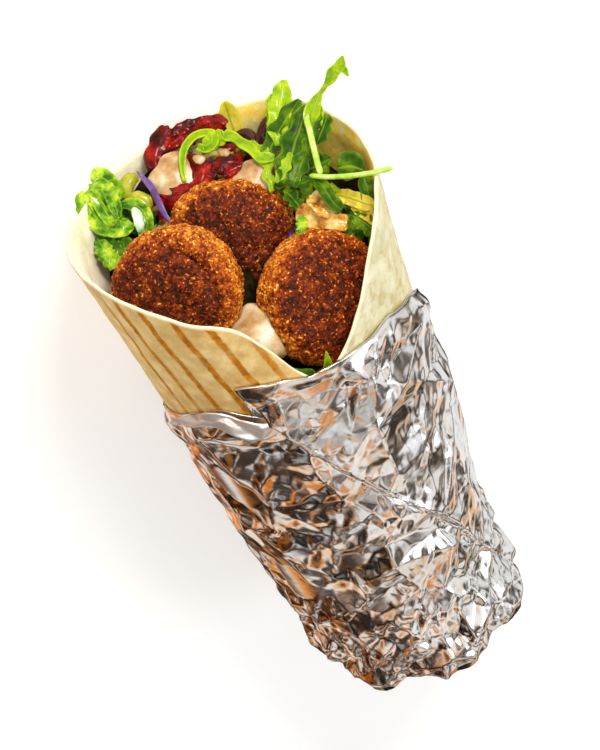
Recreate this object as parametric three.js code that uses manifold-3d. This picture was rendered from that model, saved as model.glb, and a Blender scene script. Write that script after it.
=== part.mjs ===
// A falafel wrap: a grilled tortilla rolled into a tapering tube, three falafel and salad in its
// mouth, and crumpled aluminium foil round its lower part. It lies on its back on a pressed flat.
// Millimetres, +Z up. The roll's axis runs along Y: the mouth looks to -Y and the foil end to +Y.

import * as THREE from "three";
import { mergeVertices } from "three/addons/utils/BufferGeometryUtils.js";
import Module from "manifold-3d";

const wasm = await Module();
wasm.setup();

// ---------------------------------------------------------------- driving dimensions
const LENGTH = 170; // from the closed end to the middle of the mouth's rim, along the axis
const R_END = 32.5; // outer radius of the rolled tortilla at its closed end
const R_RIM = 46.5; // and at its mouth
const SHEET = 2; // thickness of the tortilla
const FOIL = 0.9; // thickness of the crumpled foil wall
const THINNEST = 0.6; // the least that the foil wall is, in its creases
const LAP = 0.9; // height of the step where the foil's outer turn ends on the turn below
const PRESSED = 1.3; // how far the underside is pressed flat
const REST_S = 85; // distance along the axis of the point that the roll balances on
const CLEAR = 0.35; // clearance between neighbouring pieces
const COARSE = 0.6; // what the coarser copy of a lump that its neighbours give way to adds
const FALAFEL_R = 20; // radius of a falafel
const FALAFEL_H = 10.5; // half its thickness

const SLOPE = (R_RIM - R_END) / LENGTH;
const TAPER = Math.atan(SLOPE);

// ---------------------------------------------------------------- small maths
const rad = THREE.MathUtils.degToRad;
const lerp = THREE.MathUtils.lerp;
const clamp = THREE.MathUtils.clamp;
const smooth = (x, low, high) => THREE.MathUtils.smoothstep(x, low, high);

// A repeatable number from 0 to 1 for each pair of whole numbers.
function scatter(i, j) {
  const wave = Math.sin(i * 127.1 + j * 311.7) * 43758.5453;
  return wave - Math.floor(wave);
}

// A smooth closed curve of height against angle in degrees, through knots [angle, height]
// from -180 up to 180, with no overshoot between them.
function roundCurve(knots) {
  const n = knots.length - 1; // the last knot is the first one, a turn later
  const step = (k) => knots[k + 1][0] - knots[k][0];
  const rise = (k) => (knots[k + 1][1] - knots[k][1]) / step(k);
  const lean = knots.map((_, k) => {
    const before = rise((k - 1 + n) % n);
    const after = rise(k % n);
    return before * after > 0 ? (2 * before * after) / (before + after) : 0;
  });
  return (angle) => {
    const a = THREE.MathUtils.euclideanModulo(angle + 180, 360) - 180;
    let k = 0;
    while (k < n - 1 && a > knots[k + 1][0]) k += 1;
    const h = step(k);
    const x = (a - knots[k][0]) / h;
    const blend = x * x * (3 - 2 * x);
    return (
      lerp(knots[k][1], knots[k + 1][1], blend) +
      h * x * (1 - x) * ((1 - x) * lean[k] - x * lean[k + 1])
    );
  };
}

// ---------------------------------------------------------------- the roll's own frame
// A point of the roll is (x, t, s): x to its side, t to its shown front, s along the axis from
// the closed end. An angle is 0 at the front, 90 at +x and 180 underneath. Heights near the
// mouth are given from the middle of the rim, so a point at height h has s = LENGTH + h.

// Height of the tortilla's rim round the mouth: high at +x, cut by a deep V at the front.
const rimHeight = roundCurve([
  [-180, 4],
  [-147, 5],
  [-115, 1],
  [-90, -3],
  [-72, -4.5],
  [-60, -8],
  [-47, -14],
  [-32, -25],
  [-17, -35],
  [-8, -38.5],
  [0, -31],
  [7, -18],
  [15, -7],
  [27, -1.5],
  [43, 5],
  [66, 8],
  [90, 8.5],
  [118, 6],
  [145, 4.5],
  [180, 4],
]);

// Height of the foil's top edge. The outer turn ends in a corner at FOIL_CORNER.
const FOIL_CORNER = 27;
const foilOuterTop = roundCurve([
  [-180, -66],
  [-110, -66],
  [-90, -55],
  [-75, -47],
  [-60, -41],
  [-40, -36],
  [-20, -36],
  [0, -32.5],
  [27, -32],
  [90, -50],
  [180, -66],
]);
const foilInnerTop = roundCurve([
  [-180, -66],
  [-90, -50],
  [24, -44],
  [39, -39],
  [60, -46],
  [90, -55],
  [112, -66],
  [180, -66],
]);

// Height at which the outer turn's free edge runs down across the front, against the angle.
const foilDiagonal = roundCurve([
  [-180, -160],
  [-53, -146],
  [-8, -106],
  [0, -86],
  [24, -45],
  [90, -40],
  [180, -160],
]);

// Distance from the axis of a section pressed flat underneath.
function pressed(r, flat, angle) {
  const under = Math.cos(rad(180 - angle));
  return under > 0.5 ? Math.min(r, flat / under) : r;
}

// The tortilla's outside, slightly out of round, with the flap at +x standing proud near the
// mouth and the closed end slimmer on that side.
function tortillaRadius(angle, s) {
  const grown = clamp(s / LENGTH, 0, 1.1);
  const round = R_END + SLOPE * s;
  const wave =
    0.7 * Math.sin(rad(2 * angle + 30)) + 0.45 * Math.sin(rad(3 * angle - 80) + s / 60);
  const flap = 1.5 * Math.exp(-(((angle - 32) / 26) ** 2)) * smooth(s, 110, 165);
  const slim = 2.8 * Math.max(0, Math.sin(rad(angle))) ** 2 * (1 - grown);
  return pressed(round + wave * grown + flap - slim, round - PRESSED, angle);
}

const point = (angle, r, s) =>
  new THREE.Vector3(r * Math.sin(rad(angle)), r * Math.cos(rad(angle)), s);

// ---------------------------------------------------------------- making closed solids
// A closed surface through rings of equally many points, from one pole to the other. Seen from
// outside, each ring runs the way that the angle grows.
function closedFromRings(startPole, rings, endPole) {
  const n = rings[0].length;
  const points = [startPole, ...rings.flat(), endPole];
  const at = (j, i) => 1 + j * n + (i % n);
  const last = points.length - 1;
  const index = [];
  for (let i = 0; i < n; i += 1) {
    index.push(0, at(0, i), at(0, i + 1));
    index.push(last, at(rings.length - 1, i + 1), at(rings.length - 1, i));
    for (let j = 0; j < rings.length - 1; j += 1) {
      index.push(at(j, i), at(j + 1, i), at(j + 1, i + 1));
      index.push(at(j, i), at(j + 1, i + 1), at(j, i + 1));
    }
  }
  const geometry = new THREE.BufferGeometry().setFromPoints(points);
  geometry.setIndex(index);
  return geometry;
}

// A three.js geometry as a manifold solid, and back.
function solidOf(geometry) {
  const bare = geometry.clone();
  bare.deleteAttribute("normal");
  bare.deleteAttribute("uv");
  const merged = mergeVertices(bare, 1e-3);
  const mesh = new wasm.Mesh({
    numProp: 3,
    vertProperties: Float32Array.from(merged.attributes.position.array),
    triVerts: Uint32Array.from(merged.index.array),
  });
  return new wasm.Manifold(mesh);
}

function geometryOf(solid) {
  const { vertProperties, numProp, triVerts } = solid.getMesh();
  const count = vertProperties.length / numProp;
  const position = new Float32Array(count * 3);
  for (let i = 0; i < count; i += 1) {
    position.set(vertProperties.subarray(i * numProp, i * numProp + 3), i * 3);
  }
  const geometry = new THREE.BufferGeometry();
  geometry.setAttribute("position", new THREE.BufferAttribute(position, 3));
  geometry.setIndex(new THREE.BufferAttribute(triVerts, 1));
  geometry.computeVertexNormals();
  return geometry;
}

// The same surface moved out along its normals.
function swollen(geometry, by) {
  const bare = geometry.clone();
  bare.deleteAttribute("normal");
  bare.deleteAttribute("uv");
  const out = mergeVertices(bare, 1e-3);
  out.computeVertexNormals();
  const { position, normal } = out.attributes;
  for (let i = 0; i < position.count; i += 1) {
    position.setXYZ(
      i,
      position.getX(i) + normal.getX(i) * by,
      position.getY(i) + normal.getY(i) * by,
      position.getZ(i) + normal.getZ(i) * by,
    );
  }
  return out;
}

const biggest = (solid) =>
  solid.decompose().reduce((a, b) => (a.volume() > b.volume() ? a : b));

// ---------------------------------------------------------------- shapes of food
// A rounded lump: half sizes, how square its edges are (2 is an ellipsoid), and how knobbly.
function lump({ at, size, square = 2, knobs = 0.06, facing = [0, 0, 1], spin = 0, detail = 3 }) {
  const bare = new THREE.IcosahedronGeometry(1, detail);
  bare.deleteAttribute("normal");
  bare.deleteAttribute("uv");
  const geometry = mergeVertices(bare, 1e-4);
  const { position } = geometry.attributes;
  const p = new THREE.Vector3();
  const seed = at[0] * 0.37 + at[1] * 0.11;
  for (let i = 0; i < position.count; i += 1) {
    p.fromBufferAttribute(position, i);
    const flat = Math.hypot(p.x, p.y);
    const reach = (Math.abs(flat) ** square + Math.abs(p.z) ** square) ** (-1 / square);
    const bump =
      Math.sin(4.1 * p.x + seed) * Math.sin(3.7 * p.y + 2 * seed) +
      0.6 * Math.sin(7.3 * p.z + 5.2 * p.x + seed);
    p.multiplyScalar(reach * (1 + knobs * bump));
    p.multiply(new THREE.Vector3(...size));
    position.setXYZ(i, p.x, p.y, p.z);
  }
  const turn = new THREE.Quaternion().setFromUnitVectors(
    new THREE.Vector3(0, 0, 1),
    new THREE.Vector3(...facing).normalize(),
  );
  turn.multiply(new THREE.Quaternion().setFromAxisAngle(new THREE.Vector3(0, 0, 1), rad(spin)));
  const place = new THREE.Vector3(at[0], at[1], LENGTH + at[2]);
  geometry.applyMatrix4(
    new THREE.Matrix4().compose(place, turn, new THREE.Vector3(1, 1, 1)),
  );
  return geometry;
}

// A strip, stem or leaf along a smooth path of [x, t, height] points. halfWidth is a function
// of the share of the length passed. The flat side faces the way that flatFace gives.
function strip({ path, halfWidth, halfThick, flatFace, steps = 8, sides = 6 }) {
  const curve = new THREE.CatmullRomCurve3(
    path.map(([x, t, h]) => new THREE.Vector3(x, t, LENGTH + h)),
  );
  const face = new THREE.Vector3(...flatFace);
  const rings = [];
  for (let k = 1; k < steps; k += 1) {
    const share = k / steps;
    const middle = curve.getPointAt(share);
    const along = curve.getTangentAt(share);
    const across = new THREE.Vector3().crossVectors(along, face).normalize();
    const up = new THREE.Vector3().crossVectors(across, along).normalize();
    const ring = [];
    for (let i = 0; i < sides; i += 1) {
      const turn = (2 * Math.PI * i) / sides;
      ring.push(
        middle
          .clone()
          .addScaledVector(across, Math.cos(turn) * halfWidth(share))
          .addScaledVector(up, Math.sin(turn) * halfThick),
      );
    }
    rings.push(ring);
  }
  return closedFromRings(curve.getPointAt(0), rings, curve.getPointAt(1));
}

const blunt = (w) => (share) => w * Math.min(1, 3.2 * Math.sqrt(share * (1 - share)));
const leafy = (w) => (share) => w * (0.2 + 0.8 * Math.sin(Math.PI * Math.sqrt(share)));

// ---------------------------------------------------------------- tortilla
const TURN = 48; // points round the roll
const angles = Array.from({ length: TURN }, (_, i) => -180 + (360 * (i + 0.5)) / TURN);
const TORTILLA_FLOOR = 4; // the tucked closed end

// One ring of the wall at a share of the way from the floor to the rim, and inset from the
// outside.
const wallRing = (share, inset, lift) =>
  angles.map((angle) => {
    const s = lerp(TORTILLA_FLOOR + lift, LENGTH + rimHeight(angle), share);
    return point(angle, tortillaRadius(angle, s) - inset, s);
  });

// The wall with the given clearance all round it.
function tortillaGeometry(clear) {
  const outside = [0, 0.55, 0.8, 1].map((share) => wallRing(share, -clear, -clear));
  const inside = [1, 0.8, 0.55, 0].map((share) =>
    wallRing(share, SHEET + clear, SHEET + clear),
  );
  const edge = outside.at(-1).map((p, i) => p.clone().lerp(inside[0][i], 0.5));
  for (const p of edge) p.z += 0.5 + clear;
  const low = new THREE.Vector3(0, 0, TORTILLA_FLOOR - clear);
  const floor = new THREE.Vector3(0, 0, TORTILLA_FLOOR + SHEET + clear);
  return closedFromRings(low, [...outside, edge, ...inside], floor);
}

// ---------------------------------------------------------------- foil
// The crumpled sleeve: its end is a bunched cap that flares to -x, and its outer turn ends in a
// step that runs down across the front.
const FOIL_ROWS = 12;

function foilTop(angle) {
  return angle <= FOIL_CORNER ? foilOuterTop(angle) : foilInnerTop(angle);
}

// The bunched end leans out to -x, and its creases fade where the roll lies on its flat.
function foilRadius(angle, s, i, j) {
  const inside = tortillaRadius(angle, s) + CLEAR;
  const outer = angle <= FOIL_CORNER && s - LENGTH > foilDiagonal(angle) ? LAP : 0;
  const bunch = smooth(-s, -28, 2);
  const lean = Math.exp(-(((angle + 72) / 58) ** 2));
  const flare = bunch * 7.5 * lean;
  const under = smooth(Math.abs(angle), 148, 163);
  const crease = (scatter(i, j) - 0.4) * lerp(0.9, 2.4, bunch) * (1 - under);
  const wall = Math.max(FOIL + outer + flare + crease, THINNEST);
  const flat = R_END + SLOPE * s + CLEAR + FOIL - PRESSED;
  return pressed(inside + wall + 2 * under, flat, angle);
}

function foilGeometry() {
  // The underside of the bunched end, from its middle out, as shares of the radius there.
  const capRing = (share, depth, j) =>
    angles.map((angle, i) => {
      const drop = 6 * Math.cos(rad(angle + 15)) * share;
      const r = foilRadius(angle, 0, i, 40) * share;
      const pleat = 1.3 * Math.cos(rad(8 * angle) + 2 * share) * share;
      return point(angle, r, depth - drop - pleat - 2.5 * scatter(i, j) * share);
    });
  const cap = [capRing(0.35, -4.5, 50), capRing(0.7, -3.5, 51), capRing(0.93, -0.5, 52)];
  const side = [];
  for (let j = 0; j <= FOIL_ROWS; j += 1) {
    side.push(
      angles.map((angle, i) => {
        const foot = -1 - 5 * Math.cos(rad(angle + 15));
        const s = lerp(foot, LENGTH + foilTop(angle), (j / FOIL_ROWS) ** 1.15);
        return point(angle, foilRadius(angle, s, i, j), s);
      }),
    );
  }
  const insideRing = (share) =>
    angles.map((angle) => {
      const s = lerp(TORTILLA_FLOOR - CLEAR, LENGTH + foilTop(angle) - 0.4, share);
      return point(angle, tortillaRadius(angle, s) + CLEAR, s);
    });
  const inside = [1, 0.75, 0.5, 0.25, 0].map(insideRing);
  const low = new THREE.Vector3(0, 0, -4);
  const floor = new THREE.Vector3(0, 0, TORTILLA_FLOOR - CLEAR);
  return closedFromRings(low, [...cap, ...side, ...inside], floor);
}

// ---------------------------------------------------------------- salad filling
// Height of the filling's top over the section: near the rim at the back, low behind the V.
function fillingHeight(x, t) {
  const mound = 2.2 * Math.sin(x / 5.5 + 1) * Math.sin(t / 6);
  return -13 - 0.42 * (t + 8) - 9 * smooth(t, 5, 30) + mound;
}

function fillingGeometry() {
  const low = TORTILLA_FLOOR + SHEET + 2 * CLEAR;
  const wall = (s, angle, share) =>
    point(angle, (tortillaRadius(angle, s) - SHEET - CLEAR) * share, s);
  const top = (angle, share) => {
    const flat = wall(LENGTH - 10, angle, share);
    const s = LENGTH + Math.min(fillingHeight(flat.x, flat.y), rimHeight(angle) - 3);
    return wall(s, angle, share);
  };
  const ring = (make) => angles.filter((_, i) => i % 2 === 0).map(make);
  return closedFromRings(
    new THREE.Vector3(0, 0, low),
    [
      ring((a) => wall(low, a, 0.97)),
      ring((a) => wall(60, a, 1)),
      ring((a) => wall(110, a, 1)),
      ring((a) => top(a, 1)),
      ring((a) => top(a, 0.84)),
      ring((a) => top(a, 0.62)),
      ring((a) => top(a, 0.36)),
    ],
    new THREE.Vector3(0, 0, LENGTH + fillingHeight(0, 0)),
  );
}

// ---------------------------------------------------------------- the toppings
const COLOURS = {
  tortilla: 0xe6d7ac,
  foil: 0xb9b6b2,
  falafel: 0x7a3b12,
  sauce: 0xe8d8bb,
  redPepper: 0xb5160d,
  cabbage: 0x7c5596,
  lettuce: 0x7db52a,
  rocket: 0x3f7d17,
  stem: 0x9ccb4a,
  pickle: 0xb3b527,
  aubergine: 0x4a1a14,
  friedOnion: 0xb98a45,
  filling: 0x6d7a32,
};

const falafel = (at, facing, spin) => ({
  at,
  size: [FALAFEL_R, FALAFEL_R * 0.97, FALAFEL_H],
  square: 3,
  knobs: 0.02,
  facing,
  spin,
});

// Name, colour and shape, the firmest first: each one gives way to those before it. A shape
// with a path is a strip, and the others are lumps.
const toppings = [
  ["falafel_left", "falafel", falafel([22.6, 8.6, -12.8], [0.36, 0.8, 0.48], 20)],
  ["falafel_right", "falafel", falafel([-15.5, 19.2, -28.5], [-0.36, 0.84, 0.4], 75)],
  ["falafel_middle", "falafel", falafel([1.8, -10, -17], [0.02, 0.9, 0.43], 140)],
  [
    "rocket_stem",
    "stem",
    {
      path: [
        [-22, -6, -4],
        [-30, 0, -2.5],
        [-40, 8, -2.2],
        [-49.5, 13.5, -1.2],
      ],
      halfWidth: () => 0.9,
      halfThick: 0.9,
      flatFace: [0, 1, 0],
    },
  ],
  [
    "rocket_sprig",
    "rocket",
    {
      path: [
        [-27, -13, -4],
        [-31, -16, 4],
        [-37, -18, 12],
        [-45, -21, 15.5],
        [-50, -23, 19],
      ],
      halfWidth: (share) => 1.4 + 1.8 * Math.exp(-(((share - 0.62) / 0.13) ** 2)),
      halfThick: 0.8,
      flatFace: [0, 1, 0.3],
      steps: 10,
    },
  ],
  [
    "cabbage_shred",
    "cabbage",
    {
      path: [
        [20, -34, 3],
        [16.5, -26, 2],
        [15.5, -20, -0.5],
        [17, -12, -4],
        [18, -8, -8],
      ],
      halfWidth: blunt(1.6),
      halfThick: 1,
      flatFace: [0.4, 0.6, 0.6],
    },
  ],
  [
    "red_pepper_1",
    "redPepper",
    {
      path: [
        [15, -37, -2],
        [11, -39.5, 3],
        [5.5, -41, 5],
        [0, -39, 2.5],
      ],
      halfWidth: blunt(4),
      halfThick: 2.1,
      flatFace: [0, 0.9, 0.4],
    },
  ],
  [
    "red_pepper_2",
    "redPepper",
    {
      path: [
        [-2.3, -36.3, 2.3],
        [-5.8, -38, 4.8],
        [-9.8, -38, 4.2],
        [-13, -36.3, 1.5],
      ],
      halfWidth: blunt(3),
      halfThick: 1.9,
      flatFace: [0, 0.9, 0.4],
    },
  ],
  [
    "red_pepper_3",
    "redPepper",
    {
      at: [-3, -21, 1],
      size: [6.3, 4.6, 4],
      square: 2.4,
      knobs: 0.09,
      facing: [0, 0.8, 0.6],
      spin: 20,
      detail: 2,
    },
  ],
  [
    "red_pepper_4",
    "redPepper",
    {
      path: [
        [14, -20, -3],
        [10.5, -18.5, -1.5],
        [6, -19, -1],
        [2, -21, -2],
      ],
      halfWidth: blunt(3.4),
      halfThick: 2,
      flatFace: [0, 0.8, 0.6],
    },
  ],
  [
    "sauce_back",
    "sauce",
    {
      at: [8.5, -28, 1],
      size: [6.4, 6.8, 4.5],
      square: 2.2,
      knobs: 0.07,
      facing: [0, 0.7, 0.7],
      detail: 2,
    },
  ],
  [
    "sauce_side",
    "sauce",
    {
      at: [-13, -18, -4],
      size: [7, 6, 4.5],
      square: 2.2,
      knobs: 0.08,
      facing: [0, 0.7, 0.7],
      detail: 2,
    },
  ],
  [
    "sauce_front",
    "sauce",
    {
      at: [7, 25, -28],
      size: [8, 8, 6],
      square: 2.2,
      knobs: 0.06,
      facing: [0, 0.8, 0.6],
      detail: 2,
    },
  ],
  [
    "pickled_pepper",
    "pickle",
    {
      at: [23.5, -23, 1],
      size: [3.6, 4.4, 3],
      square: 2.6,
      knobs: 0.06,
      facing: [0, 0.8, 0.6],
      detail: 2,
    },
  ],
  [
    "onion_curl",
    "lettuce",
    {
      path: [
        [6.5, -26, 5.5],
        [2, -32, 7],
        [-4, -30, 7.5],
        [-10, -25, 5.5],
        [-15, -23, 2],
      ],
      halfWidth: blunt(2),
      halfThick: 1,
      flatFace: [0, 0.7, 0.7],
    },
  ],
  [
    "leaf_back",
    "pickle",
    {
      path: [
        [-11, -37, -6],
        [-12, -39.5, 0],
        [-12.5, -41.5, 5],
      ],
      halfWidth: blunt(2.6),
      halfThick: 0.9,
      flatFace: [0, 1, 0.1],
      steps: 6,
    },
  ],
  [
    "aubergine_1",
    "aubergine",
    {
      path: [
        [-14, -32, -1],
        [-18, -33, -2],
        [-22, -32, 0.5],
        [-24.5, -31, 4],
      ],
      halfWidth: blunt(2.8),
      halfThick: 1.7,
      flatFace: [0, 0.9, 0.4],
    },
  ],
  [
    "aubergine_2",
    "aubergine",
    {
      path: [
        [-19, -3, -11],
        [-23.5, -1, -11.5],
        [-28, 2, -13],
        [-31, 4, -15],
      ],
      halfWidth: blunt(3.2),
      halfThick: 1.8,
      flatFace: [0, 0.8, 0.6],
    },
  ],
  [
    "fried_onion_1",
    "friedOnion",
    {
      at: [-21, 0.5, -14.5],
      size: [5.6, 4.2, 3],
      square: 2.6,
      knobs: 0.1,
      facing: [-0.2, 0.8, 0.6],
      spin: 30,
      detail: 1,
    },
  ],
  [
    "fried_onion_2",
    "friedOnion",
    {
      at: [-29, 5, -16],
      size: [5, 3.4, 2.6],
      square: 2.4,
      knobs: 0.1,
      facing: [-0.3, 0.8, 0.5],
      spin: -35,
      detail: 1,
    },
  ],
  [
    "lettuce_bit",
    "lettuce",
    {
      at: [-16, 3.5, -12],
      size: [2.6, 3.8, 1.7],
      square: 2.3,
      knobs: 0.1,
      facing: [0.1, 0.8, 0.6],
      spin: 15,
      detail: 1,
    },
  ],
  [
    "rocket_tip",
    "lettuce",
    {
      path: [
        [-7, 37, -42],
        [-8.5, 39, -36],
        [-10, 40.5, -31],
      ],
      halfWidth: leafy(1.6),
      halfThick: 0.8,
      flatFace: [0, 1, 0],
      steps: 6,
    },
  ],
  [
    "rocket_bunch",
    "rocket",
    {
      at: [-28, -15, -2],
      size: [11, 17, 7.5],
      square: 2.2,
      knobs: 0.16,
      facing: [0.15, 0.75, 0.62],
      spin: -25,
    },
  ],
  [
    "rocket_leaf",
    "rocket",
    {
      path: [
        [-39, -6, -1.5],
        [-41, 1, -4],
        [-40, 9, -9],
        [-37, 17, -16],
      ],
      halfWidth: leafy(4.6),
      halfThick: 1.6,
      flatFace: [0.55, 0.7, 0.5],
    },
  ],
  [
    "lettuce_heap",
    "lettuce",
    {
      at: [32, -18, -1.5],
      size: [9, 15, 7],
      square: 2.2,
      knobs: 0.13,
      facing: [-0.2, 0.75, 0.6],
      spin: 15,
    },
  ],
];

// ---------------------------------------------------------------- assembly
function mesh(name, colour, geometry, metalness = 0, roughness = 0.7) {
  const material = new THREE.MeshStandardMaterial({
    color: COLOURS[colour],
    metalness,
    roughness,
  });
  const made = new THREE.Mesh(geometry, material);
  made.name = name;
  return made;
}

const wrap = new THREE.Group();
wrap.rotation.x = Math.PI / 2 - TAPER;
const foilSkin = R_END + CLEAR + FOIL;
wrap.position.y =
  REST_S * Math.cos(TAPER) + (foilSkin + SLOPE * REST_S) * Math.sin(TAPER);
wrap.position.z = (foilSkin - PRESSED) * Math.cos(TAPER);

wrap.add(mesh("tortilla", "tortilla", tortillaGeometry(0)));
wrap.add(mesh("foil", "foil", foilGeometry(), 1, 0.3));

// Each topping keeps clear of the tortilla and of the firmer ones; what is left of the salad
// filling keeps clear of them all.
const build = (shape, coarser) =>
  shape.path ? strip(shape) : lump({ ...shape, detail: (shape.detail ?? 3) - coarser });

const wallRoom = tortillaGeometry(CLEAR);
wallRoom.computeBoundingBox();
const taken = [{ box: wallRoom.boundingBox, solid: solidOf(wallRoom) }];

function clearedOf(geometry) {
  geometry.computeBoundingBox();
  let solid = solidOf(geometry);
  for (const other of taken) {
    if (geometry.boundingBox.intersectsBox(other.box)) solid = solid.subtract(other.solid);
  }
  return geometryOf(biggest(solid));
}

for (const [name, colour, shape] of toppings) {
  wrap.add(mesh(name, colour, clearedOf(build(shape, 0))));
  const coarser = shape.path || shape.knobs > 0.1 || shape.detail < 2 ? 0 : 1;
  const room = swollen(build(shape, coarser), CLEAR + COARSE * coarser);
  room.computeBoundingBox();
  taken.push({ box: room.boundingBox, solid: solidOf(room) });
}
wrap.add(mesh("salad_filling", "filling", clearedOf(fillingGeometry())));

const scene = new THREE.Group();
scene.add(wrap);

export default scene;
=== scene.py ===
# %% [markdown]
# # A falafel wrap in foil
# The real thing is a grilled wheat tortilla rolled into a tapering tube. Three falafel, salad and
# sauce fill its mouth, and crumpled aluminium foil holds its lower part.

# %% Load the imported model
import math
import random

import bmesh
import bpy
import numpy as np
from mathutils import Matrix, Quaternion, Vector
from mathutils.bvhtree import BVHTree
from mathutils.geometry import delaunay_2d_cdt


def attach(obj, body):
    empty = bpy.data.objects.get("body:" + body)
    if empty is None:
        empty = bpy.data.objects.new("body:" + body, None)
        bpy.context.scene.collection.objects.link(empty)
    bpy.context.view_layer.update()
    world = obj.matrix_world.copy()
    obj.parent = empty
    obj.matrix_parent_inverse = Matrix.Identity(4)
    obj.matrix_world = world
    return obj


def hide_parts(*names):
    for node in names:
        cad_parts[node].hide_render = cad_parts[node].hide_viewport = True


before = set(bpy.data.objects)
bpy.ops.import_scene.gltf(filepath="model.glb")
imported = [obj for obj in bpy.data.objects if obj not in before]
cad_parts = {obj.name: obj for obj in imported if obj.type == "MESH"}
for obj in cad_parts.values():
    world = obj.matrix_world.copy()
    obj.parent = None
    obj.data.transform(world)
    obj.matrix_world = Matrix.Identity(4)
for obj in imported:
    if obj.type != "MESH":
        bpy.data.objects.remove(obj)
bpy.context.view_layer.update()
MM = 0.001

# %% [markdown]
# ## The roll's own frame
# Nearly every piece follows the roll, so its points are worked out in the roll's own frame and
# turned into the part's frame once, by one function. There x goes to the roll's side, t to its
# shown front, and h along its axis, 0 at the middle of the rim and positive out of the mouth. An
# angle is 0 at the front, 90 at +x and 180 underneath. The sizes are the CAD model's own.

# %% Sizes of the roll, in millimetres
LENGTH = 170  # closed end to the middle of the rim, along the axis
R_END = 32.5  # outer radius at the closed end
R_RIM = 46.5  # and at the mouth
SHEET = 2  # thickness of the tortilla
PRESSED = 1.3  # how far the underside is pressed flat
REST = 85  # distance along the axis of the balance point
CLEAR = 0.35  # clearance between neighbouring pieces
FOIL = 0.9  # thickness of the crumpled foil wall
SLOPE = (R_RIM - R_END) / LENGTH
TAPER = math.atan(SLOPE)
SKIN = R_END + CLEAR + FOIL
AXIS_Y = REST * math.cos(TAPER) + (SKIN + SLOPE * REST) * math.sin(TAPER)
AXIS_Z = (SKIN - PRESSED) * math.cos(TAPER)


def place(points):
    """Points (x, t, h) of the roll in millimetres, as metres in the part's frame."""
    p = np.asarray(points, float)
    s = LENGTH + p[..., 2]
    y = AXIS_Y + p[..., 1] * math.sin(TAPER) - s * math.cos(TAPER)
    z = AXIS_Z + p[..., 1] * math.cos(TAPER) + s * math.sin(TAPER)
    return np.stack((p[..., 0], y, z), -1) * MM


print("taper %.2f degrees, axis height %.1f mm" % (math.degrees(TAPER), AXIS_Z))


# %% Small maths: a smooth step, a smooth closed curve and smooth noise
def smooth(x, low, high):
    t = np.clip((x - low) / (high - low), 0, 1)
    return t * t * (3 - 2 * t)


def round_curve(knots):
    """A smooth closed curve of height against angle through knots, with no overshoot."""
    a, h = np.array(knots, float).T
    rise = np.diff(h) / np.diff(a)
    before = np.roll(rise, 1)
    same = before * rise > 0
    lean = np.where(same, 2 * before * rise / np.where(same, before + rise, 1), 0)
    lean = np.append(lean, lean[0])

    def curve(angle):
        x = (np.asarray(angle, float) + 180) % 360 - 180
        k = np.clip(np.searchsorted(a, x, side="right") - 1, 0, len(rise) - 1)
        step = a[k + 1] - a[k]
        t = (x - a[k]) / step
        blend = t * t * (3 - 2 * t)
        pull = step * t * (1 - t) * ((1 - t) * lean[k] - t * lean[k + 1])
        return h[k] + (h[k + 1] - h[k]) * blend + pull

    return curve


def noise(points, size, seed=0):
    """Smooth noise from -1 to 1 at points (..., 3), with lumps about size across."""
    p = np.asarray(points, float) / size
    base = np.floor(p).astype(np.int64)
    f = p - base
    w = f * f * (3 - 2 * f)
    total = np.zeros(p.shape[:-1])
    for corner in np.ndindex(2, 2, 2):
        c = base + corner
        key = (c[..., 0] * 73856093) ^ (c[..., 1] * 19349663) ^ (c[..., 2] * 83492791)
        key = (key ^ (seed * 2654435761)) & 0xFFFFFFFF
        key = ((key ^ (key >> 13)) * 1274126177) & 0xFFFFFFFF
        key = ((key ^ (key >> 15)) * 668265263) & 0xFFFFFFFF
        value = ((key ^ (key >> 16)) & 0xFFFF) / 32767.5 - 1
        share = np.ones(p.shape[:-1])
        for axis in range(3):
            share = share * (w[..., axis] if corner[axis] else 1 - w[..., axis])
        total += value * share
    return total


print("noise at three points:", np.round(noise([[0.3, 1, 2], [4, 5, 6.5], [7, 8.2, 9]], 1), 2))

# %% [markdown]
# ## From numbers to closed meshes
# Food has few straight lines, so most pieces are made from numbers: a grid of points is bent into
# shape, then its rows become rings of quads. Every piece is closed, and a mesh whose signed volume
# comes out negative is inside out and gets flipped. Points, faces and a UV pair for each point go
# round together as one bundle, so that many leaves can be joined into one piece.


# %% Bundles of points, faces and UVs
def bands(m, n, first=0):
    """Quads between m rows of n points, each row closed, with the first point numbered first."""
    row, column = np.meshgrid(np.arange(m - 1), np.arange(n), indexing="ij")
    a = first + row * n + column
    b = first + row * n + (column + 1) % n
    return np.stack((a, b, b + n, a + n), -1).reshape(-1, 4).tolist()


def ring_bundle(rings, first, last, uv=None):
    """A closed surface through rings (m, n, 3) of equally many points, with a pole at each end."""
    m, n = rings.shape[:2]
    points = np.concatenate(([first], rings.reshape(-1, 3), [last]))
    faces = bands(m, n, 1)
    end = len(points) - 1
    for i in range(n):
        j = (i + 1) % n
        faces.append([0, 1 + j, 1 + i])
        faces.append([end, end - n + i, end - n + j])
    if uv is None:
        uv = np.zeros((m, n, 2))
    uv = np.concatenate((uv[:1, 0], uv.reshape(-1, 2), uv[-1:, 0]))
    return points, faces, uv


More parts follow.
